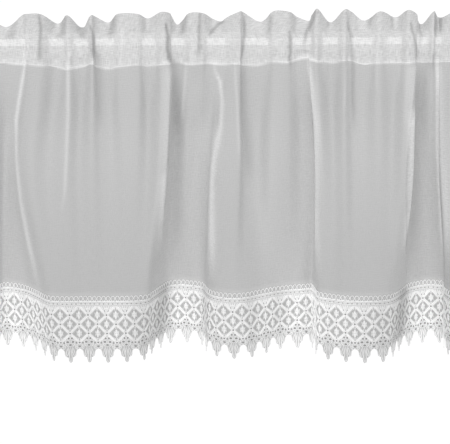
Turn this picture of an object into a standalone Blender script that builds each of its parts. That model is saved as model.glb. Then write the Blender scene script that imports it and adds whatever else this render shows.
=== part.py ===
"""Cafe curtain on a rod: a sheer voile panel with a rod pocket and frill, gathered on a flat rod,
with a deep lace border that ends in points. Metres, +Z up, front towards -Y."""

import math
from collections import namedtuple

import bmesh
import bpy

MM = 0.001

# The flat rod. The origin is the middle of its axis, and it runs along X.
ROD_LENGTH = 0.690
ROD_HEIGHT = 0.009
ROD_THICKNESS = 0.0045
ROD_EDGE_RADIUS = 0.0018

# The cloth, by height. The pocket hangs below its upper stitching, and the frill stands on it.
CLOTH_THICKNESS = 0.0012
POCKET_TOP = 0.013
POCKET_HEM = 0.005
MIDDLE_Z = -0.170
LACE_TOP_Z = -0.3235
SEAM_GAP = 0.0006
FRILL_FLARE = 1.2
STITCHED_WAVE = 0.7

# How near the cloth's own middle comes to the rod's: it touches the rod's faces and stands off its edges.
ON_FACE = ROD_THICKNESS / 2 + 0.0003 + CLOTH_THICKNESS / 2
OFF_EDGE = ON_FACE + 0.0012
EDGE_ROOM = ROD_HEIGHT / 2 + 0.002
SOFT_TURN = 0.003
LEAST_STEP_ON_ROD = 0.003

# The lace border, by distance down from its upper edge.
LACE_THICKNESS = 0.0015
LACE_REPEATS = 38
LATTICE_TOP = 0.0130
LATTICE_STEP = 0.0124
LATTICE_ROWS = 3
LATTICE_BOTTOM = LATTICE_TOP + LATTICE_STEP * (LATTICE_ROWS + 1)
BAND_REACH = 0.0022
MOTIF_HALF_WIDTH = 0.0034
BRIDGE_HALF_WIDTH = 0.0013
NOTCH = 0.0702
POINT_NECK = 0.0745
POINT_TIP = 0.0880

# One half of a point's outline, as distance from its middle line and from the lace's upper edge.
Corner = namedtuple("Corner", "across down")
POINT_OUTLINE = (
    Corner(0.0074, 0.0735),
    Corner(0.0068, 0.0790),
    Corner(0.0027, 0.0800),
    Corner(0.0023, 0.0860),
)

PANEL_STEPS = 2
LACE_STEPS = 8
ROWS_BELOW_HEM = (0.14, 0.32, 0.5, 0.75, 1.0)

# One row for each crest, valley and edge of a fold, from left to right, in millimetres: how far the frill rises
# over the rod's axis and the pocket falls below it, then the place along the rod and the distance out to the
# front of the cloth just under the pocket, half way down and at the lace.
Gather = namedtuple("Gather", "rise fall head middle lace")
GATHERS = (
    Gather(31, 28, (-318, 5), (-320, 18), (-322, 21)),
    Gather(35, 28, (-303, 10), (-309, 13), (-313, 10)),
    Gather(27, 27, (-289, 0), (-299, -6), (-305, -13)),
    Gather(18, 26, (-274, -9), (-288, -24), (-297, -29)),
    Gather(33, 27, (-253, -3), (-275, -14), (-268, -18)),
    Gather(36, 27, (-244, 9), (-261, 10), (-244, 11)),
    Gather(36, 28, (-228, 11), (-246, 23), (-229, 30)),
    Gather(22, 32, (-209, -8), (-226, 17), (-213, 34)),
    Gather(34, 32, (-195, 8), (-202, 24), (-197, 34)),
    Gather(17, 30, (-179, -8), (-187, 18), (-182, 33)),
    Gather(34, 25, (-165, 10), (-169, 24), (-166, 34)),
    Gather(31, 30, (-160, 0), (-157, 19), (-156, 34)),
    Gather(23, 34, (-146, -8), (-144, 17), (-144, 34)),
    Gather(35, 31, (-133, 6), (-128, 22), (-133, 34)),
    Gather(35, 29, (-107, 7), (-113, 22), (-121, 33)),
    Gather(28, 31, (-96, -7), (-99, 17), (-111, 32)),
    Gather(38, 26, (-77, 11), (-84, 26), (-101, 27)),
    Gather(36, 26, (-68, 6), (-74, 15), (-95, 12)),
    Gather(30, 26, (-66, -3), (-76, -8), (-86, -12)),
    Gather(20, 26, (-59, -9), (-67, -27), (-76, -32)),
    Gather(36, 27, (-43, 8), (-51, -24), (-58, -37)),
    Gather(36, 26, (-27, 8), (-38, -26), (-43, -32)),
    Gather(27, 27, (-14, -8), (-23, -16), (-30, -25)),
    Gather(24, 28, (-5, -5), (-16, 0), (-21, 4)),
    Gather(31, 28, (5, 5), (-7, 19), (-11, 17)),
    Gather(38, 28, (20, 12), (18, 24), (9, 25)),
    Gather(36, 30, (24, 1), (25, 10), (26, 21)),
    Gather(23, 29, (46, -8), (42, 2), (48, 7)),
    Gather(38, 25, (62, 8), (60, 10), (67, -4)),
    Gather(37, 26, (81, 8), (81, 2), (86, -11)),
    Gather(29, 23, (92, -8), (100, -13), (102, -14)),
    Gather(24, 21, (106, -7), (117, -14), (115, -17)),
    Gather(32, 22, (107, 2), (116, 1), (119, -1)),
    Gather(41, 24, (115, 11), (123, 19), (123, 20)),
    Gather(22, 27, (134, -8), (139, 16), (141, 30)),
    Gather(40, 24, (150, 11), (152, 24), (155, 36)),
    Gather(36, 25, (159, 1), (164, 17), (167, 38)),
    Gather(24, 30, (176, -8), (178, 18), (180, 39)),
    Gather(37, 27, (194, 8), (195, 24), (197, 38)),
    Gather(28, 28, (216, -7), (212, 20), (211, 34)),
    Gather(39, 27, (229, 11), (226, 27), (221, 24)),
    Gather(33, 26, (240, 5), (241, 14), (234, 2)),
    Gather(25, 27, (243, -3), (235, -8), (242, -14)),
    Gather(19, 28, (249, -9), (254, -25), (253, -23)),
    Gather(37, 27, (261, 8), (267, -25), (272, -32)),
    Gather(28, 28, (269, -7), (281, -15), (292, -26)),
    Gather(29, 27, (273, 3), (277, 0), (290, 0)),
    Gather(36, 26, (285, 11), (285, 18), (295, 20)),
    Gather(25, 29, (303, -6), (302, 15), (307, 26)),
    Gather(34, 28, (318, 6), (320, 20), (324, 28)),
)


def clear_scene():
    for thing in list(bpy.data.objects):
        bpy.data.objects.remove(thing)


def material(name, colour, roughness):
    made = bpy.data.materials.new(name)
    made.use_nodes = True
    shader = made.node_tree.nodes["Principled BSDF"]
    shader.inputs["Base Color"].default_value = (*colour, 1.0)
    shader.inputs["Roughness"].default_value = roughness
    shader.inputs["Metallic"].default_value = 0.0
    return made


def add_object(name, mesh, collection, finish):
    mesh.materials.append(finish)
    made = bpy.data.objects.new(name, mesh)
    collection.objects.link(made)
    return made


def add_wall(sheet, thickness, mode):
    wall = sheet.modifiers.new("thickness", "SOLIDIFY")
    wall.solidify_mode = mode
    wall.nonmanifold_thickness_mode = "EVEN"
    wall.nonmanifold_merge_threshold = 0.00001
    wall.thickness = thickness
    wall.offset = 0.0


def between(a, b, share):
    return tuple(p + (q - p) * share for p, q in zip(a, b))


def smooth_point(before, start, end, after, share):
    """A point between start and end on the centripetal Catmull-Rom curve through the four."""
    t1 = math.sqrt(math.dist(before, start))
    t2 = t1 + math.sqrt(math.dist(start, end))
    t3 = t2 + math.sqrt(math.dist(end, after))
    t = t1 + (t2 - t1) * share
    first = between(before, start, t / t1)
    second = between(start, end, share)
    third = between(end, after, (t - t2) / (t3 - t2))
    return between(between(first, second, t / t2), between(second, third, (t - t1) / (t3 - t1)), share)


def smooth_line(points, steps):
    """The curve past all the points, with that many steps from each to the next. The steps lie to both sides
    of a point and none on it, so that a crest comes out round."""
    ahead = between(points[1], points[0], 2)
    beyond = between(points[-2], points[-1], 2)
    through = [ahead, *points, beyond]
    line = [
        smooth_point(*through[k : k + 4], (step + 0.5) / steps)
        for k in range(len(points) - 1)
        for step in range(steps)
    ]
    return [points[0], *line, points[-1]]


def places_on_rod():
    """Where each gather crosses the rod. Cloth can't lie on itself there, so each keeps a least step."""
    places = [GATHERS[0].head[0] * MM]
    for gather in GATHERS[1:]:
        places.append(max(gather.head[0] * MM, places[-1] + LEAST_STEP_ON_ROD))
    return places


ON_ROD = places_on_rod()


def eased(start, end, slopes, low, high, at):
    """A cubic from start to end that leaves and arrives at the given slopes."""
    span = high - low
    t = (at - low) / span
    rise = (3 - 2 * t) * t * t
    return start + (end - start) * rise + span * t * (1 - t) * (slopes[0] * (1 - t) - slopes[1] * t)


def below_hem(gather, z):
    """A gather's place and depth under the pocket, on one smooth curve down to the tips of the lace."""
    top = -gather.fall * MM
    placed = []
    for head, middle, lace in zip(gather.head, gather.middle, gather.lace):
        upper = (middle - head) * MM / (MIDDLE_Z - top)
        lower = (lace - middle) * MM / (LACE_TOP_Z - MIDDLE_Z)
        turn = (upper + lower) / 2
        hang = lower / 2
        if z > MIDDLE_Z:
            placed.append(eased(head * MM, middle * MM, (upper, turn), top, MIDDLE_Z, z))
        elif z > LACE_TOP_Z:
            placed.append(eased(middle * MM, lace * MM, (turn, hang), MIDDLE_Z, LACE_TOP_Z, z))
        else:
            placed.append(lace * MM + hang * (z - LACE_TOP_Z))
    return placed


def in_heading(gather, on_rod, z):
    """A gather's place and depth in the frill and the pocket."""
    under = min(1.0, max(0.0, -z / (gather.fall * MM))) ** 2
    if z > POCKET_TOP:
        full, share = FRILL_FLARE, (z - POCKET_TOP) / (gather.rise * MM - POCKET_TOP)
    else:
        full, share = 1.0, min(1.0, (POCKET_TOP - z) / POCKET_TOP)
    wave = STITCHED_WAVE + (full - STITCHED_WAVE) * share
    x = on_rod + (gather.head[0] * MM - on_rod) * under
    return x, gather.head[1] * MM * wave


def pushed_out(out, room):
    """The larger of the two, with a soft turn where they cross."""
    return (out + room + math.hypot(out - room, SOFT_TURN)) / 2


def cloth_line(levels, steps, room=0.0, side=1):
    """One line across the cloth, given each gather's height. The rod keeps it that far from the middle plane,
    towards the front (side 1) or the back (side -1)."""
    points = []
    for gather, on_rod, z in zip(GATHERS, ON_ROD, levels):
        place = below_hem(gather, z) if z < -gather.fall * MM else in_heading(gather, on_rod, z)
        points.append((*place, z))
    line = smooth_line(points, steps)
    if room:
        line = [(x, side * pushed_out(side * out, room), z) for x, out, z in line]
    return line


def level(z):
    return [z] * len(GATHERS)


def part_way(start, end, share):
    return [a + (b - a) * share for a, b in zip(start, end)]


def panel_lines():
    """The panel's lines from the frill down to the lace, and those of the pocket's back layer."""
    frill = [gather.rise * MM for gather in GATHERS]
    hem = [-gather.fall * MM for gather in GATHERS]
    low_stitch = [z + POCKET_HEM for z in hem]
    edge, stitched = level(EDGE_ROOM), level(POCKET_TOP)
    under_rod = level(-EDGE_ROOM)
    pocket = (
        (edge, OFF_EDGE),
        (level(0.0), ON_FACE),
        (under_rod, OFF_EDGE),
        (part_way(under_rod, low_stitch, 0.5), ON_FACE),
    )
    front = [cloth_line(frill, PANEL_STEPS), cloth_line(part_way(frill, stitched, 0.5), PANEL_STEPS)]
    front.append(cloth_line(stitched, PANEL_STEPS))
    front += [cloth_line(levels, PANEL_STEPS, room) for levels, room in pocket]
    front += [cloth_line(low_stitch, PANEL_STEPS), cloth_line(hem, PANEL_STEPS)]
    lowest = level(LACE_TOP_Z + SEAM_GAP)
    front += [cloth_line(part_way(hem, lowest, share), PANEL_STEPS) for share in ROWS_BELOW_HEM]
    back = [cloth_line(levels, PANEL_STEPS, room, -1) for levels, room in pocket]
    return front, back


def build_panel(collection, finish):
    """One sheet: the frill and the hanging cloth, and behind them the turned layer that makes the pocket."""
    front, back = panel_lines()
    sheet = bmesh.new()
    outer = [[sheet.verts.new((x, -out, z)) for x, out, z in line] for line in front]
    inner = [[sheet.verts.new((x, -out, z)) for x, out, z in line] for line in back]
    upper_stitching, lower_stitching = outer[2], outer[7]
    for lines in (outer, [upper_stitching, *inner, lower_stitching]):
        for upper, lower in zip(lines, lines[1:]):
            for i in range(len(upper) - 1):
                sheet.faces.new((upper[i], lower[i], lower[i + 1], upper[i + 1]))
    made = bpy.data.meshes.new("voile_panel")
    sheet.to_mesh(made)
    sheet.free()
    add_wall(add_object("voile_panel", made, collection, finish), CLOTH_THICKNESS, "NON_MANIFOLD")


class Border:
    """The lace's flat pattern laid on the folds: along runs over the cloth's width, and down from its edge."""

    def __init__(self):
        self.mesh = bmesh.new()
        self.corners = {}
        self.lines = {}
        self.width = self.folded_line(0.0)[1][-1]
        self.pitch = self.width / LACE_REPEATS

    def folded_line(self, down):
        """The line across the folds at that distance down, and the cloth's length up to each of its points."""
        if down not in self.lines:
            line = cloth_line(level(LACE_TOP_Z - down), LACE_STEPS)
            lengths = [0.0]
            for a, b in zip(line, line[1:]):
                lengths.append(lengths[-1] + math.dist(a, b))
            self.lines[down] = (line, lengths)
        return self.lines[down]

    def corner(self, along, down):
        key = (round(along, 6), round(down, 6))
        if key not in self.corners:
            line, lengths = self.folded_line(key[1])
            target = min(1.0, along / self.width) * lengths[-1]
            i = next((k for k in range(1, len(lengths)) if lengths[k] >= target), len(lengths) - 1)
            share = (target - lengths[i - 1]) / (lengths[i] - lengths[i - 1])
            x, out, z = between(line[i - 1], line[i], share)
            self.corners[key] = self.mesh.verts.new((x, -out, z))
        return self.corners[key]

    def face(self, side, *corners):
        """A face of the pattern, its corners in order on the right of a middle line, or mirrored to its left."""
        ordered = corners if side == 1 else reversed(corners)
        self.mesh.faces.new([self.corner(along, down) for along, down in ordered])


def half_diamond(border, middle, centre, side):
    """Half a cell of the lattice, on one side of its middle line: the bands, half of the motif that hangs
    between its upper and lower corners, and the opening that is left beside the motif."""
    reach = border.pitch / 2
    top, bottom = (middle, centre - LATTICE_STEP), (middle, centre + LATTICE_STEP)
    hung, footed = centre - LATTICE_STEP + BAND_REACH, centre + LATTICE_STEP - BAND_REACH
    bridge = middle + side * BRIDGE_HALF_WIDTH
    upper, lower = (bridge, hung + BRIDGE_HALF_WIDTH), (bridge, footed - BRIDGE_HALF_WIDTH)
    stem_top, stem_foot = (middle, upper[1]), (middle, lower[1])
    waist, heart = (middle + side * MOTIF_HALF_WIDTH, centre), (middle, centre)
    outside, inside = (middle + side * reach, centre), (middle + side * (reach - BAND_REACH), centre)
    border.face(side, top, stem_top, upper)
    border.face(side, top, upper, inside, outside)
    border.face(side, outside, inside, lower, bottom)
    border.face(side, lower, stem_foot, bottom)
    border.face(side, stem_top, heart, waist, upper)
    border.face(side, heart, stem_foot, lower, waist)


def half_point(border, middle, side):
    """Half a repeat of the ground under the lattice, with half of its point."""
    edge = middle + side * border.pitch / 2
    last_row = LATTICE_BOTTOM - LATTICE_STEP
    shoulder, lobe, waist, foot = [(middle + side * c.across, c.down) for c in POINT_OUTLINE]
    neck = (middle, POINT_NECK)
    border.face(side, (middle, last_row), neck, shoulder)
    border.face(side, (middle, last_row), shoulder, (edge, NOTCH), (edge, LATTICE_BOTTOM))
    border.face(side, neck, waist, lobe, shoulder)
    border.face(side, neck, (middle, POINT_TIP), foot, waist)


def build_border(collection, finish):
    border = Border()
    first_row = LATTICE_TOP + LATTICE_STEP
    for repeat in range(LACE_REPEATS):
        start, middle, end = (border.pitch * (repeat + share) for share in (0, 0.5, 1))
        for side, edge in ((-1, start), (1, end)):
            border.face(side, (middle, 0), (middle, first_row), (edge, LATTICE_TOP), (edge, 0))
            for row in range(1, LATTICE_ROWS + 1):
                centre = LATTICE_TOP + row * LATTICE_STEP
                if row % 2:
                    half_diamond(border, edge, centre, -side)
                else:
                    half_diamond(border, middle, centre, side)
            half_point(border, middle, side)
    made = bpy.data.meshes.new("lace_border")
    border.mesh.to_mesh(made)
    border.mesh.free()
    add_wall(add_object("lace_border", made, collection, finish), LACE_THICKNESS, "EXTRUDE")


def build_rod(collection, finish):
    bar = bmesh.new()
    bmesh.ops.create_cube(bar, size=1.0)
    bmesh.ops.scale(bar, vec=(ROD_LENGTH, ROD_THICKNESS, ROD_HEIGHT), verts=bar.verts)
    long_edges = [edge for edge in bar.edges if edge.calc_length() > ROD_LENGTH / 2]
    bmesh.ops.bevel(bar, geom=long_edges, offset=ROD_EDGE_RADIUS, segments=3, profile=0.5, affect="EDGES")
    made = bpy.data.meshes.new("curtain_rod")
    bar.to_mesh(made)
    bar.free()
    add_object("curtain_rod", made, collection, finish)


def main():
    clear_scene()
    collection = bpy.data.collections.new("cafe_curtain")
    bpy.context.scene.collection.children.link(collection)
    build_rod(collection, material("white_lacquer", (0.86, 0.86, 0.85), 0.35))
    build_panel(collection, material("white_voile", (0.62, 0.62, 0.62), 0.9))
    build_border(collection, material("white_lace", (0.82, 0.82, 0.82), 0.85))


main()
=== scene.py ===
"""Cafe curtain on a rod: the sheer voile panel with its frilled rod pocket, the lace border sewn to its lower
edge, and the flat white rod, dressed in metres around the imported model. +Z up, front towards -Y."""

import math
from collections import namedtuple

import bmesh
import bpy
import numpy as np
from mathutils import Matrix, Vector, noise


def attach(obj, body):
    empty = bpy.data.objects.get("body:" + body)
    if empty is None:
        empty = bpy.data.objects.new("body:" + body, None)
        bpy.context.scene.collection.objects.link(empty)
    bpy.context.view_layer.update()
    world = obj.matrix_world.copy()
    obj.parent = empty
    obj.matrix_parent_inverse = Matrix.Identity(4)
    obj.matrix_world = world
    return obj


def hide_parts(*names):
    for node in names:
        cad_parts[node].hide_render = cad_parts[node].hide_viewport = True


bl_info = {
    "name": "Cafe Curtain",
    "version": (1, 0, 0),
    "blender": (4, 5, 0),
    "location": "View3D > Sidebar > Curtain",
    "description": "Hangs a voile cafe curtain with a lace border on its rod",
    "category": "Object",
}

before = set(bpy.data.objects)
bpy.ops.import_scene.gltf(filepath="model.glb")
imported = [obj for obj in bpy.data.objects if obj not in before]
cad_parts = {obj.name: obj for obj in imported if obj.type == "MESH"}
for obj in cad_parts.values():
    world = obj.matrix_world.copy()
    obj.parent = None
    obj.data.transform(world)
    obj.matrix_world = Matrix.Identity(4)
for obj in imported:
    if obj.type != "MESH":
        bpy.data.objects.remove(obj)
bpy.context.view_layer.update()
MM = 0.001

# The rod and the cloth by height, as in the solids. The origin is the middle of the rod's axis.
CLOTH_ROOM = 0.0031
SOFT_TURN = 0.003
LEAST_STEP_ON_ROD = 0.003
ROD_HALF_HEIGHT = 0.0045
EDGE_ROOM = 0.0065
POCKET_TOP = 0.013
POCKET_HEM = 0.005
MIDDLE_Z = -0.170
LACE_TOP_Z = -0.3235
FRILL_FLARE = 1.2
STITCHED_WAVE = 0.7

# The lace by distance down from its upper edge.
LACE_REPEATS = 38
PICOTS = 4
CORD_LINE = 0.0073
GROUND_TOP = 0.0068
LATTICE_TOP = 0.0130
LATTICE_STEP = 0.0124
POINTS_START = 0.0680
FLAT = "flat"

# One row for each crest, valley and edge of a fold, from left to right, in millimetres: how far the frill
# rises over the rod's axis and the pocket falls below it, then the place along the rod and the distance
# out to the front of the cloth just under the pocket, half way down and at the lace.
Gather = namedtuple("Gather", "rise fall head middle lace")
GATHERS = (
    Gather(31, 28, (-318, 5), (-320, 18), (-322, 21)),
    Gather(35, 28, (-303, 10), (-309, 13), (-313, 10)),
    Gather(27, 27, (-289, 0), (-299, -6), (-305, -13)),
    Gather(18, 26, (-274, -9), (-288, -24), (-297, -29)),
    Gather(33, 27, (-253, -3), (-275, -14), (-268, -18)),
    Gather(36, 27, (-244, 9), (-261, 10), (-244, 11)),
    Gather(36, 28, (-228, 11), (-246, 23), (-229, 30)),
    Gather(22, 32, (-209, -8), (-226, 17), (-213, 34)),
    Gather(34, 32, (-195, 8), (-202, 24), (-197, 34)),
    Gather(17, 30, (-179, -8), (-187, 18), (-182, 33)),
    Gather(34, 25, (-165, 10), (-169, 24), (-166, 34)),
    Gather(31, 30, (-160, 0), (-157, 19), (-156, 34)),
    Gather(23, 34, (-146, -8), (-144, 17), (-144, 34)),
    Gather(35, 31, (-133, 6), (-128, 22), (-133, 34)),
    Gather(35, 29, (-107, 7), (-113, 22), (-121, 33)),
    Gather(28, 31, (-96, -7), (-99, 17), (-111, 32)),
    Gather(38, 26, (-77, 11), (-84, 26), (-101, 27)),
    Gather(36, 26, (-68, 6), (-74, 15), (-95, 12)),
    Gather(30, 26, (-66, -3), (-76, -8), (-86, -12)),
    Gather(20, 26, (-59, -9), (-67, -27), (-76, -32)),
    Gather(36, 27, (-43, 8), (-51, -24), (-58, -37)),
    Gather(36, 26, (-27, 8), (-38, -26), (-43, -32)),
    Gather(27, 27, (-14, -8), (-23, -16), (-30, -25)),
    Gather(24, 28, (-5, -5), (-16, 0), (-21, 4)),
    Gather(31, 28, (5, 5), (-7, 19), (-11, 17)),
    Gather(38, 28, (20, 12), (18, 24), (9, 25)),
    Gather(36, 30, (24, 1), (25, 10), (26, 21)),
    Gather(23, 29, (46, -8), (42, 2), (48, 7)),
    Gather(38, 25, (62, 8), (60, 10), (67, -4)),
    Gather(37, 26, (81, 8), (81, 2), (86, -11)),
    Gather(29, 23, (92, -8), (100, -13), (102, -14)),
    Gather(24, 21, (106, -7), (117, -14), (115, -17)),
    Gather(32, 22, (107, 2), (116, 1), (119, -1)),
    Gather(41, 24, (115, 11), (123, 19), (123, 20)),
    Gather(22, 27, (134, -8), (139, 16), (141, 30)),
    Gather(40, 24, (150, 11), (152, 24), (155, 36)),
    Gather(36, 25, (159, 1), (164, 17), (167, 38)),
    Gather(24, 30, (176, -8), (178, 18), (180, 39)),
    Gather(37, 27, (194, 8), (195, 24), (197, 38)),
    Gather(28, 28, (216, -7), (212, 20), (211, 34)),
    Gather(39, 27, (229, 11), (226, 27), (221, 24)),
    Gather(33, 26, (240, 5), (241, 14), (234, 2)),
    Gather(25, 27, (243, -3), (235, -8), (242, -14)),
    Gather(19, 28, (249, -9), (254, -25), (253, -23)),
    Gather(37, 27, (261, 8), (267, -25), (272, -32)),
    Gather(28, 28, (269, -7), (281, -15), (292, -26)),
    Gather(29, 27, (273, 3), (277, 0), (290, 0)),
    Gather(36, 26, (285, 11), (285, 18), (295, 20)),
    Gather(25, 29, (303, -6), (302, 15), (307, 26)),
    Gather(34, 28, (318, 6), (320, 20), (324, 28)),
)

# The creases that lie on the folds, in millimetres. Each runs past a few places from its top to its foot,
# given as the distance along the rod and the height. Then come how far it spreads to its left and its
# right, how much wider or narrower it is at its foot, how far it stands out (a ridge) or in (a trough),
# and its shade, which is painted into the colour: pale partly where the cloth lies double and partly as
# painted light on flanks that the lamp leaves dark, and dark as painted shade where the cloth is pinched in.
Crease = namedtuple("Crease", "places left right foot out shade")
CREASES = (
    Crease(((-251, -30), (-267, -100), (-268, -151), (-264, -206), (-256, -262), (-246, -315)),
           2.4, 2.4, 1.8, 0.8, 2.5),
    Crease(((268, -31), (272, -84), (276, -146), (280, -187), (284, -228), (289, -288)),
           2.4, 6.5, 0.6, 0.3, 3.0),
    Crease(((-196, -34), (-197, -89), (-201, -151), (-204, -189), (-208, -208)), 3.0, 3.0, 0.8, 0.9, 1.4),
    Crease(((-48, -31), (-53, -73), (-56, -104)), 2.2, 2.6, 1.0, 0.6, 1.0),
    Crease(((13, -30), (14, -49), (16, -74), (17, -100), (19, -150)), 2.0, 2.0, 1.0, 0.7, 1.0),
    Crease(((154, -28), (152, -62), (151, -84)), 1.8, 1.8, 1.0, 0.4, 0.6),
    Crease(((191, -10), (191, -45), (192, -64)), 2.0, 2.0, 1.0, 0.5, 0.5),
    Crease(((-247, 17), (-246, -5), (-249, -24)), 1.8, 1.8, 1.0, 0.5, 0.7),
    Crease(((-191, -4), (-195, -22)), 1.8, 1.8, 1.0, 0.4, 0.5),
    Crease(((-127, 15), (-128, -9), (-132, -27)), 1.8, 1.8, 1.0, 0.5, 0.5),
    Crease(((-39, -8), (-44, -24)), 1.8, 1.8, 1.0, 0.4, 0.5),
    Crease(((-229, 34), (-228, 20), (-230, 4), (-231, -24)), 1.6, 1.8, 2.0, -1.2, -1.8),
    Crease(((-167, 20), (-164, 10), (-164, -20)), 1.8, 2.0, 1.8, -1.2, -2.0),
    Crease(((-160, -14), (-158, -76), (-157, -104)), 3.5, 6.0, 0.8, -1.4, -0.9),
    Crease(((-72, 22), (-70, 8), (-71, -7), (-69, -20), (-64, -32)), 1.8, 2.0, 1.8, -1.2, -2.2),
    Crease(((-62, -24), (-62, -60), (-63, -130)), 4.5, 6.5, 1.0, -0.4, -0.8),
    Crease(((-63, -45), (-63, -100), (-64, -170), (-65, -240), (-69, -293)), 5.0, 6.0, 1.8, -0.6, -1.0),
    Crease(((-30, 35), (-31, 14), (-32, -20)), 1.8, 2.6, 1.4, -1.0, -1.7),
    Crease(((-2, 25), (-11, 16), (-19, 7)), 4.0, 3.0, 0.6, -1.0, -2.0),
    Crease(((25, 28), (26, 12), (24, -4), (21, -22)), 1.8, 1.8, 1.2, -1.2, -1.8),
    Crease(((23, -38), (24, -90), (29, -130), (32, -180)), 4.5, 6.0, 1.3, -0.8, -1.0),
    Crease(((57, 31), (55, 2)), 3.5, 3.5, 1.0, -1.0, -0.8),
    Crease(((82, 12), (83, -20), (85, -32)), 2.0, 2.0, 1.2, -1.2, -1.6),
    Crease(((112, 38), (110, 25), (102, 7), (100, -9)), 2.0, 2.0, 1.2, -1.0, -1.6),
    Crease(((132, 32), (132, 14)), 2.4, 2.4, 1.0, -0.8, -1.0),
    Crease(((155, 21), (158, 12), (159, -6), (162, -25), (163, -62), (165, -107)), 2.0, 2.6, 1.2, -1.4, -1.4),
    Crease(((185, 33), (180, 15)), 3.2, 3.2, 0.6, -1.0, -1.2),
    Crease(((210, 31), (213, 12)), 2.2, 2.2, 1.0, -0.8, -1.0),
    Crease(((233, 22), (237, 7), (241, -9), (243, -25)), 1.8, 1.8, 1.2, -1.2, -1.6),
    Crease(((247, -40), (248, -110), (250, -207), (248, -262), (246, -300)), 5.0, 7.5, 1.5, -0.8, -1.2),
    Crease(((249, 28), (245, -4)), 2.2, 2.2, 1.0, -1.0, -1.2),
    Crease(((264, 36), (265, 2)), 1.8, 1.8, 1.0, -0.8, -1.4),
    Crease(((264, -16), (264, -36)), 4.5, 4.5, 1.0, -1.0, -0.9),
    Crease(((-263, 30), (-268, 2)), 6.0, 5.0, 1.0, -0.8, -1.3),
    Crease(((-199, 32), (-204, 4)), 4.6, 5.0, 1.0, -0.8, -1.2),
    Crease(((-181, 28), (-177, 2)), 4.4, 5.0, 1.0, -0.8, -1.4),
    Crease(((-137, 34), (-144, 6)), 4.0, 5.0, 1.0, -0.8, -1.4),
    Crease(((-50, 32), (-54, 6)), 3.6, 4.4, 1.0, -0.8, -1.3),
    # The last rows paint light and shade below the lace's upper edge: painted shade on the sides of the folds
    # that turn into the recesses, and painted light on the fronts of the folds.
    Crease(((-270, -326), (-262, -400)), 14.0, 9.0, 1.0, 0.0, -0.5),
    Crease(((-106, -326), (-112, -400)), 14.0, 8.0, 1.0, 0.0, -0.7),
    Crease(((-83, -326), (-90, -400)), 9.0, 11.0, 1.2, 0.0, -2.2),
    Crease(((-40, -326), (-38, -400)), 9.0, 9.0, 1.0, 0.0, -0.5),
    Crease(((-26, -326), (-24, -400)), 5.0, 4.0, 1.0, 0.0, -0.9),
    Crease(((30, -326), (34, -400)), 7.0, 12.0, 1.0, 0.0, -0.8),
    Crease(((70, -326), (72, -400)), 14.0, 14.0, 1.0, 0.0, -0.9),
    Crease(((118, -326), (120, -400)), 4.0, 10.0, 1.0, 0.0, 1.0),
    Crease(((150, -326), (152, -400)), 24.0, 16.0, 1.0, 0.0, 0.7),
    Crease(((204, -326), (204, -400)), 14.0, 10.0, 1.0, 0.0, -0.7),
    Crease(((234, -326), (230, -400)), 11.0, 11.0, 1.2, 0.0, -2.6),
    Crease(((-144, -326), (-148, -400)), 24.0, 18.0, 1.0, 0.0, 0.4),
)

# The pale edges of the folds, where the cloth turns back behind itself: partly the cloth lying double, and
# partly painted light that brightens flanks which turn away from the lamp. They lie on the front of their
# folds alone, so they fade over these two depths.
FOLD_EDGES = (
    Crease(((-68, -35), (-70, -90), (-72, -125), (-74, -165), (-77, -205), (-81, -250)),
           7.5, 1.6, 0.8, 0.3, 2.2),
    Crease(((-76, -170), (-80, -215), (-84, -270)), 7.0, 3.0, 1.0, 0.0, 1.3),
    Crease(((-12, -38), (-5, -51), (-3, -76), (-5, -105), (-9, -126), (-13, -149), (-16, -178), (-18, -300)),
           2.6, 2.4, 1.8, 0.9, 2.4),
    Crease(((-9, -115), (-13, -149), (-16, -178), (-18, -300)), 6.5, 6.0, 1.0, 0.0, 1.5),
    Crease(((106, -30), (110, -60), (115, -105), (117, -170), (118, -233), (120, -300)),
           1.8, 4.4, 0.9, 0.3, 3.9),
    Crease(((241, -32), (241, -62), (242, -105)), 14.0, 1.6, 0.8, 0.3, 1.7),
    Crease(((235, -105), (235, -150), (233, -210)), 3.5, 3.5, 1.0, 0.0, 1.2),
    Crease(((242, -95), (242, -140), (240, -207), (237, -240), (234, -262)), 8.5, 2.2, 0.6, 0.3, 4.4),
)
EDGE_FADES = (-14, -4)

# The shares of its height over which every crease starts and ends.
CREASE_STARTS = (-0.1, 0.05)
CREASE_ENDS = (0.75, 1.12)


def between(a, b, share):
    return tuple(p + (q - p) * share for p, q in zip(a, b))


def smooth_point(before, start, end, after, share):
    """A point between start and end on the centripetal Catmull-Rom curve through the four."""
    t1 = math.sqrt(math.dist(before, start))
    t2 = t1 + math.sqrt(math.dist(start, end))
    t3 = t2 + math.sqrt(math.dist(end, after))
    t = t1 + (t2 - t1) * share
    first = between(before, start, t / t1)
    second = between(start, end, share)
    third = between(end, after, (t - t2) / (t3 - t2))
    return between(between(first, second, t / t2), between(second, third, (t - t1) / (t3 - t1)), share)


def smooth_line(points, steps):
    """The curve past all the points, with that many steps from each to the next."""
    through = [between(points[1], points[0], 2), *points, between(points[-2], points[-1], 2)]
    line = [
        smooth_point(*through[k : k + 4], (step + 0.5) / steps)
        for k in range(len(points) - 1)
        for step in range(steps)
    ]
    return [points[0], *line, points[-1]]


def places_on_rod():
    """Where each gather crosses the rod, each with a least step from the last."""
    places = [GATHERS[0].head[0] * MM]
    for gather in GATHERS[1:]:
        places.append(max(gather.head[0] * MM, places[-1] + LEAST_STEP_ON_ROD))
    return places


ON_ROD = places_on_rod()


def eased(start, end, slopes, low, high, at):
    """A cubic from start to end that leaves and arrives at the given slopes."""
    span = high - low
    t = (at - low) / span
    rise = (3 - 2 * t) * t * t
    return start + (end - start) * rise + span * t * (1 - t) * (slopes[0] * (1 - t) - slopes[1] * t)


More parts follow.
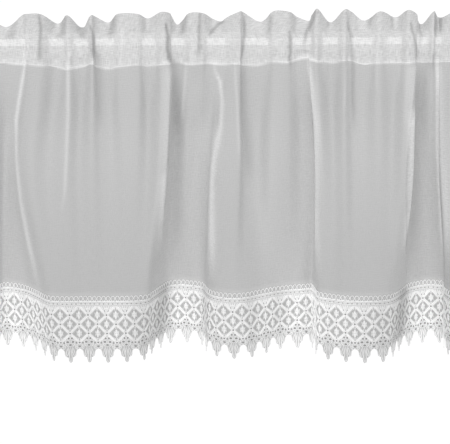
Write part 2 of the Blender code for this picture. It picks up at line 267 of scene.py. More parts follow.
def below_hem(gather, z):
    """A gather's place and depth under the pocket, on one smooth curve down to the tips of the lace."""
    top = -gather.fall * MM
    placed = []
    for head, middle, lace in zip(gather.head, gather.middle, gather.lace):
        upper = (middle - head) * MM / (MIDDLE_Z - top)
        lower = (lace - middle) * MM / (LACE_TOP_Z - MIDDLE_Z)
        turn = (upper + lower) / 2
        hang = lower / 2
        if z > MIDDLE_Z:
            placed.append(eased(head * MM, middle * MM, (upper, turn), top, MIDDLE_Z, z))
        elif z > LACE_TOP_Z:
            placed.append(eased(middle * MM, lace * MM, (turn, hang), MIDDLE_Z, LACE_TOP_Z, z))
        else:
            placed.append(lace * MM + hang * (z - LACE_TOP_Z))
    return placed


def in_heading(gather, on_rod, z):
    """A gather's place and depth in the frill and the pocket."""
    under = min(1.0, max(0.0, -z / (gather.fall * MM))) ** 2
    if z > POCKET_TOP:
        full, share = FRILL_FLARE, (z - POCKET_TOP) / (gather.rise * MM - POCKET_TOP)
    else:
        full, share = 1.0, min(1.0, (POCKET_TOP - z) / POCKET_TOP)
    wave = STITCHED_WAVE + (full - STITCHED_WAVE) * share
    x = on_rod + (gather.head[0] * MM - on_rod) * under
    return x, gather.head[1] * MM * wave


def pushed_out(out, room):
    """The larger of the two, with a soft turn where they cross."""
    return (out + room + math.hypot(out - room, SOFT_TURN)) / 2


def cloth_line(levels, steps):
    """One line across the cloth as (x, out, z), given each gather's height."""
    points = []
    for gather, on_rod, z in zip(GATHERS, ON_ROD, levels):
        place = below_hem(gather, z) if z < -gather.fall * MM else in_heading(gather, on_rod, z)
        points.append((*place, z))
    return smooth_line(points, steps)


def round_rod(line, side, share):
    """The line kept that much clear of the rod, on its front (side 1) or its back (side -1)."""
    return [(x, out + (side * pushed_out(side * out, CLOTH_ROOM) - out) * share, z) for x, out, z in line]


def lengths_along(line):
    lengths = [0.0]
    for a, b in zip(line, line[1:]):
        lengths.append(lengths[-1] + math.dist(a, b))
    return lengths


def normals_of(line):
    """The way to the front at each point of a line, square to it in plan."""
    ways = []
    for i in range(len(line)):
        a, b = line[max(0, i - 1)], line[min(len(line) - 1, i + 1)]
        dx, dout = b[0] - a[0], b[1] - a[1]
        length = math.hypot(dx, dout) or 1.0
        ways.append((-dout / length, dx / length))
    return ways


def shifted(line, distances):
    """The line moved that far to its front, point by point."""
    moved = []
    for (x, out, z), (nx, nout), distance in zip(line, normals_of(line), distances):
        moved.append((x + nx * distance, out + nout * distance, z))
    return moved


def level(z):
    return [z] * len(GATHERS)


def part_way(start, end, share):
    return [a + (b - a) * share for a, b in zip(start, end)]


def soft_step(low, high, value):
    """0 below low, 1 above high, and a soft rise between. The value may be a number or an array."""
    t = np.clip((value - low) / (high - low), 0.0, 1.0)
    return t * t * (3 - 2 * t)


def creases_on(line):
    """How far the creases lift each point of a line, and the painted light and shade that they put on it."""
    x = np.array([point[0] for point in line]) / MM
    z = np.array([point[2] for point in line]) / MM
    in_front = soft_step(*EDGE_FADES, np.array([point[1] for point in line]) / MM)
    lift = np.zeros(len(line))
    shade = np.zeros(len(line))
    placed = [(crease, 1.0) for crease in CREASES] + [(crease, in_front) for crease in FOLD_EDGES]
    for crease, seen in placed:
        along, heights = zip(*reversed(crease.places))
        down = (heights[-1] - z) / (heights[-1] - heights[0])
        away = x - np.interp(z, heights, along)
        spread = np.where(away < 0, crease.left, crease.right) * (1 + (crease.foot - 1) * np.clip(down, 0, 1))
        share = np.exp(-((away / spread) ** 2)) * soft_step(*CREASE_STARTS, down)
        share = share * (1 - soft_step(*CREASE_ENDS, down)) * seen
        lift += crease.out * MM * share
        shade += crease.shade * share
    return lift, shade


# How high the puckers stand, and how far they reach from the upper stitches, and up and down from the lower
# ones.
FINE_PUCKER = 0.0008
BROAD_PUCKER = 0.0013
PUCKER_AT_FRILL = 0.012
PUCKER_IN_POCKET = 0.014
PUCKER_BELOW = 0.032


def pucker_height(along, z, low_stitch):
    """The small gathers that run from the two rows of stitches into the cloth, fading as it hangs."""
    near_upper = math.exp(-abs(z - POCKET_TOP) / PUCKER_AT_FRILL)
    reach = PUCKER_IN_POCKET if z > low_stitch else PUCKER_BELOW
    near_lower = math.exp(-abs(z - low_stitch) / reach)
    fine = noise.noise(Vector((along * 150, z * 14, 1.7)))
    broad = noise.noise(Vector((along * 62, z * 6, 8.3)))
    small = FINE_PUCKER * fine * max(near_upper, near_lower)
    return small + BROAD_PUCKER * broad * (0.25 + 0.75 * near_lower)


def new_object(name, mesh):
    made = bpy.data.objects.new(name, mesh)
    bpy.context.scene.collection.objects.link(made)
    return made


def sheet_mesh(name, lines, flats, values):
    """A sheet over rows of points (x, out, z), with each point's place on the flat cloth as its UV map, and
    named values kept on its points. Rows run down the cloth, so that its faces look to the front."""
    wide = len(lines[0])
    points = [(x, -out, z) for line in lines for x, out, z in line]
    faces = [
        (r * wide + c, (r + 1) * wide + c, (r + 1) * wide + c + 1, r * wide + c + 1)
        for r in range(len(lines) - 1)
        for c in range(wide - 1)
    ]
    mesh = bpy.data.meshes.new(name)
    mesh.from_pydata(points, [], faces)
    mesh.update()
    corners = np.empty(len(mesh.loops), dtype=np.int32)
    mesh.loops.foreach_get("vertex_index", corners)
    flat = np.array([place for row in flats for place in row], dtype=np.float32)
    mesh.uv_layers.new(name=FLAT).uv.foreach_set("vector", flat[corners].ravel())
    for key, rows in values.items():
        kept = mesh.attributes.new(key, "FLOAT", "POINT")
        kept.data.foreach_set("value", [float(v) for row in rows for v in row])
    mesh.shade_smooth()
    return mesh


def node(tree, kind, **settings):
    made = tree.nodes.new(kind)
    for key, value in settings.items():
        setattr(made, key, value)
    return made


def maths(tree, operation, first, second=None, third=None, clamp=False):
    """A Math node's result. Each input is a socket or a number."""
    made = node(tree, "ShaderNodeMath", operation=operation, use_clamp=clamp)
    for socket, value in zip(made.inputs, (first, second, third)):
        if isinstance(value, bpy.types.NodeSocket):
            tree.links.new(value, socket)
        elif value is not None:
            socket.default_value = value
    return made.outputs[0]


def mixed_colour(tree, share, first, second):
    made = node(tree, "ShaderNodeMix", data_type="RGBA")
    for socket, value in zip((made.inputs[0], made.inputs[6], made.inputs[7]), (share, first, second)):
        if isinstance(value, bpy.types.NodeSocket):
            tree.links.new(value, socket)
        else:
            socket.default_value = value
    return made.outputs[2]


def grey(value):
    return (value, value, value, 1.0)


def new_group(name, inputs, outputs):
    """A shader node group with value inputs and outputs, and its input and output nodes."""
    tree = bpy.data.node_groups.new(name, "ShaderNodeTree")
    for key, kind in inputs:
        tree.interface.new_socket(key, in_out="INPUT", socket_type=kind)
    for key, kind in outputs:
        tree.interface.new_socket(key, in_out="OUTPUT", socket_type=kind)
    return tree, node(tree, "NodeGroupInput"), node(tree, "NodeGroupOutput")


def thread_group():
    """Crossing threads with their slubs: a height for the bump, and a shade that varies as thread does."""
    if "crossing_threads" in bpy.data.node_groups:
        return bpy.data.node_groups["crossing_threads"]
    tree, given, out = new_group(
        "crossing_threads",
        (("Place", "NodeSocketVector"), ("Pitch", "NodeSocketFloat")),
        (("Height", "NodeSocketFloat"), ("Shade", "NodeSocketFloat")),
    )
    parts = node(tree, "ShaderNodeSeparateXYZ")
    tree.links.new(given.outputs["Place"], parts.inputs[0])
    threads = []
    for axis in (0, 1):
        turns = maths(tree, "DIVIDE", parts.outputs[axis], given.outputs["Pitch"])
        wave = maths(tree, "SINE", maths(tree, "MULTIPLY", turns, math.tau))
        threads.append(wave)
    height = maths(tree, "MULTIPLY", threads[0], threads[1])
    slubs = []
    for scale in ((110.0, 850.0, 1.0), (1000.0, 100.0, 1.0)):
        stretch = node(tree, "ShaderNodeMapping")
        stretch.inputs["Scale"].default_value = scale
        tree.links.new(given.outputs["Place"], stretch.inputs["Vector"])
        slub = node(tree, "ShaderNodeTexNoise")
        slub.inputs["Scale"].default_value = 1.0
        slub.inputs["Detail"].default_value = 3.0
        tree.links.new(stretch.outputs[0], slub.inputs["Vector"])
        slubs.append(slub.outputs["Fac"])
    both = maths(tree, "ADD", slubs[0], slubs[1])
    tree.links.new(maths(tree, "ADD", height, both), out.inputs["Height"])
    tree.links.new(maths(tree, "MULTIPLY", both, 0.5), out.inputs["Shade"])
    return tree


def flat_threads(tree, pitch):
    """The crossing threads over the cloth's flat place, as a group node."""
    place = node(tree, "ShaderNodeUVMap", uv_map=FLAT)
    threads = node(tree, "ShaderNodeGroup", node_tree=thread_group())
    threads.inputs["Pitch"].default_value = pitch
    tree.links.new(place.outputs["UV"], threads.inputs["Place"])
    return threads


def bump_from(tree, height, strength, distance):
    bump = node(tree, "ShaderNodeBump")
    bump.inputs["Strength"].default_value = strength
    bump.inputs["Distance"].default_value = distance
    tree.links.new(height, bump.inputs["Height"])
    return bump.outputs["Normal"]


def new_material(name):
    made = bpy.data.materials.new(name)
    made.use_nodes = True
    return made, made.node_tree, made.node_tree.nodes["Principled BSDF"]


def attribute(tree, name):
    return node(tree, "ShaderNodeAttribute", attribute_name=name).outputs["Fac"]


def uneven_shade(tree, threads, change):
    """A factor near 1 that varies with the threads by that much either way."""
    made = node(tree, "ShaderNodeMapRange")
    made.inputs["From Min"].default_value = 0.3
    made.inputs["From Max"].default_value = 0.7
    made.inputs["To Min"].default_value = 1.0 - change
    made.inputs["To Max"].default_value = 1.0 + change
    tree.links.new(threads.outputs["Shade"], made.inputs["Value"])
    return made.outputs[0]


def painted_light_by_depth_group():
    """Painted light and shade: the cloth's colour made lighter where it hangs further back and darker at the
    front of the folds, as if a window behind shone through it.
    """
    if "window_light" in bpy.data.node_groups:
        return bpy.data.node_groups["window_light"]
    tree, given, out = new_group(
        "window_light", (("Place", "NodeSocketVector"),), (("Factor", "NodeSocketFloat"),)
    )
    parts = node(tree, "ShaderNodeSeparateXYZ")
    tree.links.new(given.outputs["Place"], parts.inputs[0])
    made = node(tree, "ShaderNodeMapRange")
    made.inputs["From Min"].default_value = FRONT_OF_FOLDS
    made.inputs["From Max"].default_value = BACK_OF_FOLDS
    made.inputs["To Min"].default_value = SHADE_AT_FRONT
    made.inputs["To Max"].default_value = SHADE_AT_BACK
    tree.links.new(parts.outputs[1], made.inputs["Value"])
    tree.links.new(made.outputs[0], out.inputs["Factor"])
    return tree


# The painted light and shade by depth, as a group node.
def window_light(tree):
    place = node(tree, "ShaderNodeTexCoord")
    light = node(tree, "ShaderNodeGroup", node_tree=painted_light_by_depth_group())
    tree.links.new(place.outputs["Object"], light.inputs["Place"])
    return light.outputs["Factor"]


def scaled(tree, colour, factor):
    made = node(tree, "ShaderNodeVectorMath", operation="SCALE")
    tree.links.new(colour, made.inputs[0])
    tree.links.new(factor, made.inputs["Scale"])
    return made.outputs[0]


def painted_fold_light(tree, crease_shade):
    """A factor for a cloth's colour: painted light and shade at its creases, lighter towards the back of the
    folds and darker at their front.
    """
    creased = maths(tree, "MULTIPLY_ADD", attribute(tree, "shade"), crease_shade, 1.0)
    return maths(tree, "MULTIPLY", creased, window_light(tree))


def voile_material(look):
    """Sheer voile, paler where it lies double and at the hem's edge, painted paler where it lies on the white
    rod as the rod's white showing through it, and carrying painted light and shade on its folds.
    """
    made, tree, shader = new_material("sheer_voile")
    threads = flat_threads(tree, look.thread_pitch)
    colour = mixed_colour(tree, attribute(tree, "doubled"), grey(look.single), grey(look.doubled))
    colour = mixed_colour(tree, attribute(tree, "hem"), colour, grey(look.hem))
    # Painted light: paler where the voile lies on the white rod, for the rod's white showing through it.
    colour = mixed_colour(tree, attribute(tree, "on_rod"), colour, grey(look.painted_rod_glow))
    slub = uneven_shade(tree, threads, look.slubs)
    # Painted light and shade of the creases and of the folds' depth.
    lit = maths(tree, "MULTIPLY", slub, painted_fold_light(tree, look.crease_shade))
    tree.links.new(scaled(tree, colour, lit), shader.inputs["Base Color"])
    cover = maths(tree, "MULTIPLY", attribute(tree, "doubled"), look.doubled_cover - look.cover)
    cover = maths(tree, "ADD", cover, look.cover)
    tree.links.new(maths(tree, "MULTIPLY", cover, slub, clamp=True), shader.inputs["Alpha"])
    tree.links.new(bump_from(tree, threads.outputs["Height"], 0.25, 0.0002), shader.inputs["Normal"])
    shader.inputs["Roughness"].default_value = 0.92
    shader.inputs["Specular IOR Level"].default_value = 0.15
    shader.inputs["Sheen Weight"].default_value = 0.12
    shader.inputs["Sheen Roughness"].default_value = 0.5
    return made


def in_eyelet(tree, spot, eyelet, repeat):
    """1 inside an eyelet and 0 outside it, for a place on one repeat folded at the point's middle line."""
    away = node(tree, "ShaderNodeVectorMath", operation="SUBTRACT")
    tree.links.new(spot, away.inputs[0])
    away.inputs[1].default_value = (eyelet_across(eyelet, repeat), eyelet.down * MM, 0.0)
    shares = node(tree, "ShaderNodeVectorMath", operation="DIVIDE")
    tree.links.new(away.outputs[0], shares.inputs[0])
    shares.inputs[1].default_value = (eyelet.wide * MM, eyelet.tall * MM, 1.0)
    length = node(tree, "ShaderNodeVectorMath", operation="LENGTH")
    tree.links.new(shares.outputs[0], length.inputs[0])
    return maths(tree, "LESS_THAN", length.outputs["Value"], 1.0)


def ground_material(look, repeat):
    """The lace's ground: pale close work, grey open net in the diamonds, eyelets painted dark grey as painted
    shade for the shaded voile seen through them, and the painted light and shade of the folds.
    """
    made, tree, shader = new_material("lace_ground")
    threads = flat_threads(tree, look.net_pitch)
    place = node(tree, "ShaderNodeUVMap", uv_map=FLAT)
    parts = node(tree, "ShaderNodeSeparateXYZ")
    tree.links.new(place.outputs["UV"], parts.inputs[0])
    folded = maths(tree, "PINGPONG", parts.outputs[0], repeat / 2)
    across = maths(tree, "SUBTRACT", repeat / 2, folded)
    spot = node(tree, "ShaderNodeCombineXYZ")
    tree.links.new(across, spot.inputs[0])
    tree.links.new(parts.outputs[1], spot.inputs[1])
    hole = None
    for eyelet in EYELETS:
        inside = in_eyelet(tree, spot.outputs[0], eyelet, repeat)
        hole = inside if hole is None else maths(tree, "MAXIMUM", hole, inside)
    colour = mixed_colour(tree, attribute(tree, "open"), grey(look.close_work), grey(look.net))
    colour = mixed_colour(tree, attribute(tree, "point"), colour, grey(look.points))
    # Painted shade: the eyelets are painted dark grey for the shaded voile seen through them.
    colour = mixed_colour(tree, hole, colour, grey(look.eyelet))
    uneven = uneven_shade(tree, threads, 0.07)
    lit = maths(tree, "MULTIPLY", uneven, painted_fold_light(tree, look.crease_shade))
    tree.links.new(scaled(tree, colour, lit), shader.inputs["Base Color"])
    sheer = maths(tree, "MAXIMUM", attribute(tree, "open"), hole)
    cover = maths(tree, "MULTIPLY_ADD", sheer, look.net_cover - 1.0, 1.0)
    tree.links.new(cover, shader.inputs["Alpha"])
    tree.links.new(bump_from(tree, threads.outputs["Height"], 0.5, 0.0003), shader.inputs["Normal"])
    shader.inputs["Roughness"].default_value = 0.95
    shader.inputs["Specular IOR Level"].default_value = 0.1
    return made


def cord_material(look, name, shade):
    """White cotton cord, with the fine ribs of its thread, a slightly uneven white, and the painted light and
    shade of the folds it lies on.
    """
    made, tree, shader = new_material(name)
    threads = flat_threads(tree, look.cord_pitch)
    uneven = node(tree, "ShaderNodeTexNoise")
    uneven.inputs["Scale"].default_value = 420.0
    uneven.inputs["Detail"].default_value = 2.0
    place = node(tree, "ShaderNodeUVMap", uv_map=FLAT)
    tree.links.new(place.outputs["UV"], uneven.inputs["Vector"])
    colour = mixed_colour(tree, uneven.outputs["Fac"], grey(shade - 0.07), grey(shade + 0.05))
    lit = painted_fold_light(tree, look.crease_shade)
    tree.links.new(scaled(tree, colour, lit), shader.inputs["Base Color"])
    tree.links.new(bump_from(tree, threads.outputs["Height"], 0.5, 0.0003), shader.inputs["Normal"])
    shader.inputs["Roughness"].default_value = 0.88
    shader.inputs["Specular IOR Level"].default_value = 0.2
    shader.inputs["Sheen Weight"].default_value = 0.1
    return made


def thread_material(look):
    """Sewing thread, slightly glossier than the cloth."""
    made, tree, shader = new_material("sewing_thread")
    place = node(tree, "ShaderNodeTexCoord")
    twist = node(tree, "ShaderNodeTexNoise")
    twist.inputs["Scale"].default_value = 1500.0
    tree.links.new(place.outputs["Object"], twist.inputs["Vector"])
    colour = mixed_colour(tree, twist.outputs["Fac"], grey(look.doubled - 0.05), grey(look.doubled + 0.1))
    tree.links.new(colour, shader.inputs["Base Color"])
    tree.links.new(bump_from(tree, twist.outputs["Fac"], 0.4, 0.0002), shader.inputs["Normal"])
    shader.inputs["Roughness"].default_value = 0.6
    return made


def rod_material(look):
    """White lacquer on drawn metal: a faint orange peel, and gloss that varies a little along the bar."""
    made, tree, shader = new_material("white_lacquer")
    place = node(tree, "ShaderNodeTexCoord")
    stretch = node(tree, "ShaderNodeMapping")
    stretch.inputs["Scale"].default_value = (6.0, 120.0, 120.0)
    tree.links.new(place.outputs["Object"], stretch.inputs["Vector"])
    uneven = node(tree, "ShaderNodeTexNoise")
    uneven.inputs["Scale"].default_value = 3.0
    uneven.inputs["Detail"].default_value = 4.0
    tree.links.new(stretch.outputs[0], uneven.inputs["Vector"])
    peel = node(tree, "ShaderNodeTexNoise")
    peel.inputs["Scale"].default_value = 900.0
    tree.links.new(place.outputs["Object"], peel.inputs["Vector"])
    colour = mixed_colour(tree, uneven.outputs["Fac"], grey(look.lacquer - 0.03), grey(look.lacquer + 0.03))
    tree.links.new(colour, shader.inputs["Base Color"])
    gloss = node(tree, "ShaderNodeMapRange")
    gloss.inputs["To Min"].default_value = 0.26
    gloss.inputs["To Max"].default_value = 0.42
    tree.links.new(uneven.outputs["Fac"], gloss.inputs["Value"])
    tree.links.new(gloss.outputs[0], shader.inputs["Roughness"])
    tree.links.new(bump_from(tree, peel.outputs["Fac"], 0.12, 0.0002), shader.inputs["Normal"])
    shader.inputs["Coat Weight"].default_value = 0.3
    return made


# The depths of the foremost and hindmost folds, and the painted shade at the front and painted light at the
# back.
FRONT_OF_FOLDS = -0.034
BACK_OF_FOLDS = 0.030
SHADE_AT_FRONT = 0.86
SHADE_AT_BACK = 1.17

# The eyelets of one repeat, in millimetres: the distance from a point's middle line, or back from the
# repeat's edge where edge is set, then the distance down, half the hole's width and height, and the width
# of the ring's cord.
Eyelet = namedtuple("Eyelet", "across edge down wide tall ring")
EYELETS = (
    Eyelet(0.0, False, 25.4, 1.2, 1.2, 1.2),
    Eyelet(0.0, True, 37.8, 1.2, 1.2, 1.2),
    Eyelet(0.0, False, 50.2, 1.2, 1.2, 1.2),
    Eyelet(0.0, True, 62.6, 1.35, 1.2, 1.2),
    Eyelet(1.9, False, 20.6, 1.5, 1.2, 0.0),
    Eyelet(3.2, False, 10.6, 1.0, 0.8, 0.0),
    Eyelet(8.6, False, 10.6, 1.0, 0.8, 0.0),
    Eyelet(2.0, False, 56.8, 1.35, 1.45, 0.7),
    Eyelet(3.4, False, 61.6, 1.9, 1.5, 0.7),
    Eyelet(0.0, False, 65.7, 1.9, 1.45, 0.7),
    Eyelet(4.3, True, 62.9, 1.3, 1.1, 0.0),
    Eyelet(0.0, True, 67.8, 1.7, 1.05, 0.0),
)


def eyelet_across(eyelet, repeat):
    """An eyelet's distance from the point's middle line."""
    return repeat / 2 - eyelet.across * MM if eyelet.edge else eyelet.across * MM


CORD_FLATNESS = 0.8

# A petal's outline, as shares of its length and its width.
PETAL = (
    (0.0, 0.12), (0.3, 0.72), (0.62, 1.0), (0.88, 0.62), (1.0, 0.0), (0.88, -0.62), (0.62, -1.0), (0.3, -0.72)
)


class Chart:
    """One repeat of the lace, drawn flat with cords. Places are (across, down) in millimetres, with across
    measured from the middle line of a point."""

    def __init__(self, name, repeat):
        self.half = repeat / 2 / MM
        self.data = bpy.data.curves.new(name, "CURVE")
        self.data.dimensions = "3D"
        self.data.fill_mode = "FULL"
        self.data.bevel_depth = 0.5 * MM
        self.data.bevel_resolution = 1
        self.data.use_fill_caps = True
        self.name = name

    def cord(self, places, width, closed=False, lift=0.0):
        spline = self.data.splines.new("POLY")
        spline.points.add(len(places) - 1)
        spline.use_cyclic_u = closed
        spline.use_smooth = True
        for point, (across, down) in zip(spline.points, places):
            point.co = (across * MM, down * MM, lift * MM, 1.0)
            point.radius = width

    def loop(self, places, width, steps=2, lift=0.0):
        """A closed cord past the given places."""
        around = [*places[-1:], *places, *places[:2]]
        line = [
            smooth_point(*around[k : k + 4], step / steps)
            for k in range(len(places))
            for step in range(steps)
        ]
        self.cord(line, width, closed=True, lift=lift)

    def run(self, places, width, steps=3, lift=0.0):
        """An open cord past the given places."""
        self.cord(smooth_line(places, steps), width, lift=lift)

    def ring(self, centre, wide, tall, width, sides=9, lift=0.0):
        turns = (math.tau * k / sides for k in range(sides))
        places = [(centre[0] + wide * math.sin(a), centre[1] + tall * math.cos(a)) for a in turns]
        self.cord(places, width, closed=True, lift=lift)

    def petal(self, root, tip, width, cord, filled=False, lift=0.0):
        """A closed teardrop from its root to its tip, or one worked solid."""
        dx, dy = tip[0] - root[0], tip[1] - root[1]
        length = math.hypot(dx, dy)
        nx, ny = -dy / length * width, dx / length * width
        places = [(root[0] + dx * a + nx * b, root[1] + dy * a + ny * b) for a, b in PETAL]
        self.loop(places, cord, steps=1, lift=lift)
        if filled:
            spine = [(root[0] + dx * a, root[1] + dy * a) for a in (0.1, 0.35, 0.6, 0.85)]
            self.cord(spine, width * 1.5, lift=lift)

    def mirrored(self, draw):
        """Draws on both sides of the middle line."""
        for side in (-1, 1):
            draw(side)

    def finished(self):
        """The chart as a flat mesh object with flattened cords."""
        curve = new_object(self.name + "_curve", self.data)
        mesh = bpy.data.meshes.new_from_object(curve.evaluated_get(bpy.context.evaluated_depsgraph_get()))
        bpy.data.objects.remove(curve)
        work = bmesh.new()
        work.from_mesh(mesh)
        bmesh.ops.remove_doubles(work, verts=work.verts, dist=0.00001)
        bmesh.ops.scale(work, vec=(1.0, 1.0, CORD_FLATNESS), verts=work.verts)
        bmesh.ops.recalc_face_normals(work, faces=work.faces)
        work.to_mesh(mesh)
        work.free()
        for uv_map in list(mesh.uv_layers):
            mesh.uv_layers.remove(uv_map)
        mesh.shade_smooth()
        return new_object(self.name + "_chart", mesh)


def chart_bands(repeat):
    """The lattice: three cords side by side from node to node, and a ring at each node and eyelet."""
    chart = Chart("lace_bands", repeat)
    half, step, top = chart.half, LATTICE_STEP / MM, LATTICE_TOP / MM
    clear = 2.2
    for row in range(4):
        upper, lower = top + row * step, top + (row + 1) * step
        for side in (-1, 1):
            start, end = (side * half, upper), (0.0, lower)
            if row % 2:
                start, end = (0.0, upper), (side * half, lower)
            length = math.dist(start, end)
            ux, uy = (end[0] - start[0]) / length, (end[1] - start[1]) / length
            for offset in (-0.95, 0.0, 0.95):
                first = clear - 0.35 * abs(offset)
                places = [
                    (start[0] + ux * a - uy * offset, start[1] + uy * a + ux * offset)
                    for a in (first + (length - 2 * first) * k / 7 for k in range(8))
                ]
                chart.cord(places, 1.1, lift=0.1 if offset else 0.3)
    for eyelet in EYELETS:
        if eyelet.ring:
            across = eyelet_across(eyelet, repeat) / MM
            room = 0.5 * eyelet.ring
            for middle in sorted({across, across if eyelet.edge else -across}):
                wide, tall = eyelet.wide + room, eyelet.tall + room
                chart.ring((middle, eyelet.down), wide, tall, eyelet.ring, lift=0.2)
    return chart


def chart_flowers(repeat):
    """A flower of six petals in each diamond, held by a pair of stems above and below."""
    chart = Chart("lace_flowers", repeat)
    half, step, top = chart.half, LATTICE_STEP / MM, LATTICE_TOP / MM
    for middle, centre in ((half, top + step), (0.0, top + 2 * step), (half, top + 3 * step)):
        for way in (-1, 1):
            root, tip = (middle, centre - way * 0.8), (middle, centre + way * 5.4)
            chart.petal(root, tip, 1.1, 0.8, filled=True, lift=0.2)
            for side in (-1, 1):
                stem = (
                    (middle + side * 0.7, centre + way * 6.0),
                    (middle + side * 1.1, centre + way * 8.2),
                    (middle + side * 0.9, centre + way * 10.4),
                )
                chart.run(stem, 0.8, steps=2)
                for lean in (3.0, 1.2):
                    root = (middle + side * 1.0, centre + way * 0.5)
                    chart.petal(root, (middle + side * 3.2, centre + way * lean), 0.7, 0.5)
    return chart


def chart_points(repeat):
    """The ground under the lattice with its eyelets, and the palmette of each point."""
    chart = Chart("lace_points", repeat)
    half = chart.half

    def side_of_point(side):
        def placed(*places):
            return [(side * across, down) for across, down in places]

        chart.petal(*placed((2.4, 68.2), (4.9, 81.0)), 1.3, 1.0, lift=0.1)
        chart.petal(*placed((6.4, 66.6), (8.6, 71.8)), 1.0, 0.9)
        upper_edge = placed((half, 70.8), (9.9, 71.6), (8.1, 73.4), (7.2, 76.0))
        lower_edge = placed((6.9, 78.8), (5.9, 81.0), (4.2, 81.7))
        chart.run(upper_edge + lower_edge, 1.0, steps=2)
        chart.run(placed((half - 0.2, 70.2), (half - 3.2, 67.6), (half - 3.2, 64.8)), 0.8, steps=2)
        chart.run(placed((0.6, 53.2), (4.9, 57.0), (6.3, 61.2), (5.4, 65.2), (2.6, 68.2)), 0.8, steps=2)

    chart.mirrored(side_of_point)
    chart.petal((0.0, 68.8), (0.0, 89.2), 1.7, 1.1, lift=0.1)
    return chart


def chart_heading(repeat):
    """The picots, the straight cord, the close band under it, and the fan over each node of the first row."""
    chart = Chart("lace_heading", repeat)
    half = chart.half
    pitch = 2 * half / PICOTS
    for k in range(PICOTS):
        middle = -half + pitch * (k + 0.5)
        chart.ring((middle, 3.5), pitch * 0.42, 3.3, 0.9, sides=12, lift=0.1)
    straight = [(-half + 2 * half * k / 12, CORD_LINE / MM) for k in range(13)]
    chart.cord(straight, 1.5, lift=0.3)
    for row, down in enumerate((9.2, 11.6)):
        waves = 24
        places = [
            (-half + 2 * half * k / waves, down + 0.35 * math.sin(math.pi * (k + row) / 1.5))
            for k in range(waves + 1)
        ]
        chart.cord(places, 0.7)

    def side_of_fan(side):
        chart.run(((side * 0.5, 23.2), (side * 1.6, 18.4), (side * 3.2, 13.4)), 1.0, steps=3)
        chart.run(((side * 3.6, 20.4), (side * 4.6, 17.0), (side * 6.6, 13.6)), 1.0, steps=2)
        outer = ((side * half, 14.2), (side * (half - 3.2), 14.4), (side * (half - 6.2), 17.6))
        chart.run(outer, 1.1, steps=3)

    chart.mirrored(side_of_fan)
    chart.run(((-3.2, 17.4), (0.0, 16.4), (3.2, 17.4)), 1.0, steps=3)
    chart.run(((0.0, 22.6), (0.0, 18.0), (0.0, 13.6)), 0.9, steps=2)
    return chart


def geometry_tree(name, inputs):
    tree = bpy.data.node_groups.new(name, "GeometryNodeTree")
    sockets = {}
    for key, kind in inputs:
        sockets[key] = tree.interface.new_socket(key, in_out="INPUT", socket_type=kind).identifier
    tree.interface.new_socket("Geometry", in_out="OUTPUT", socket_type="NodeSocketGeometry")
    return tree, sockets, node(tree, "NodeGroupInput"), node(tree, "NodeGroupOutput")


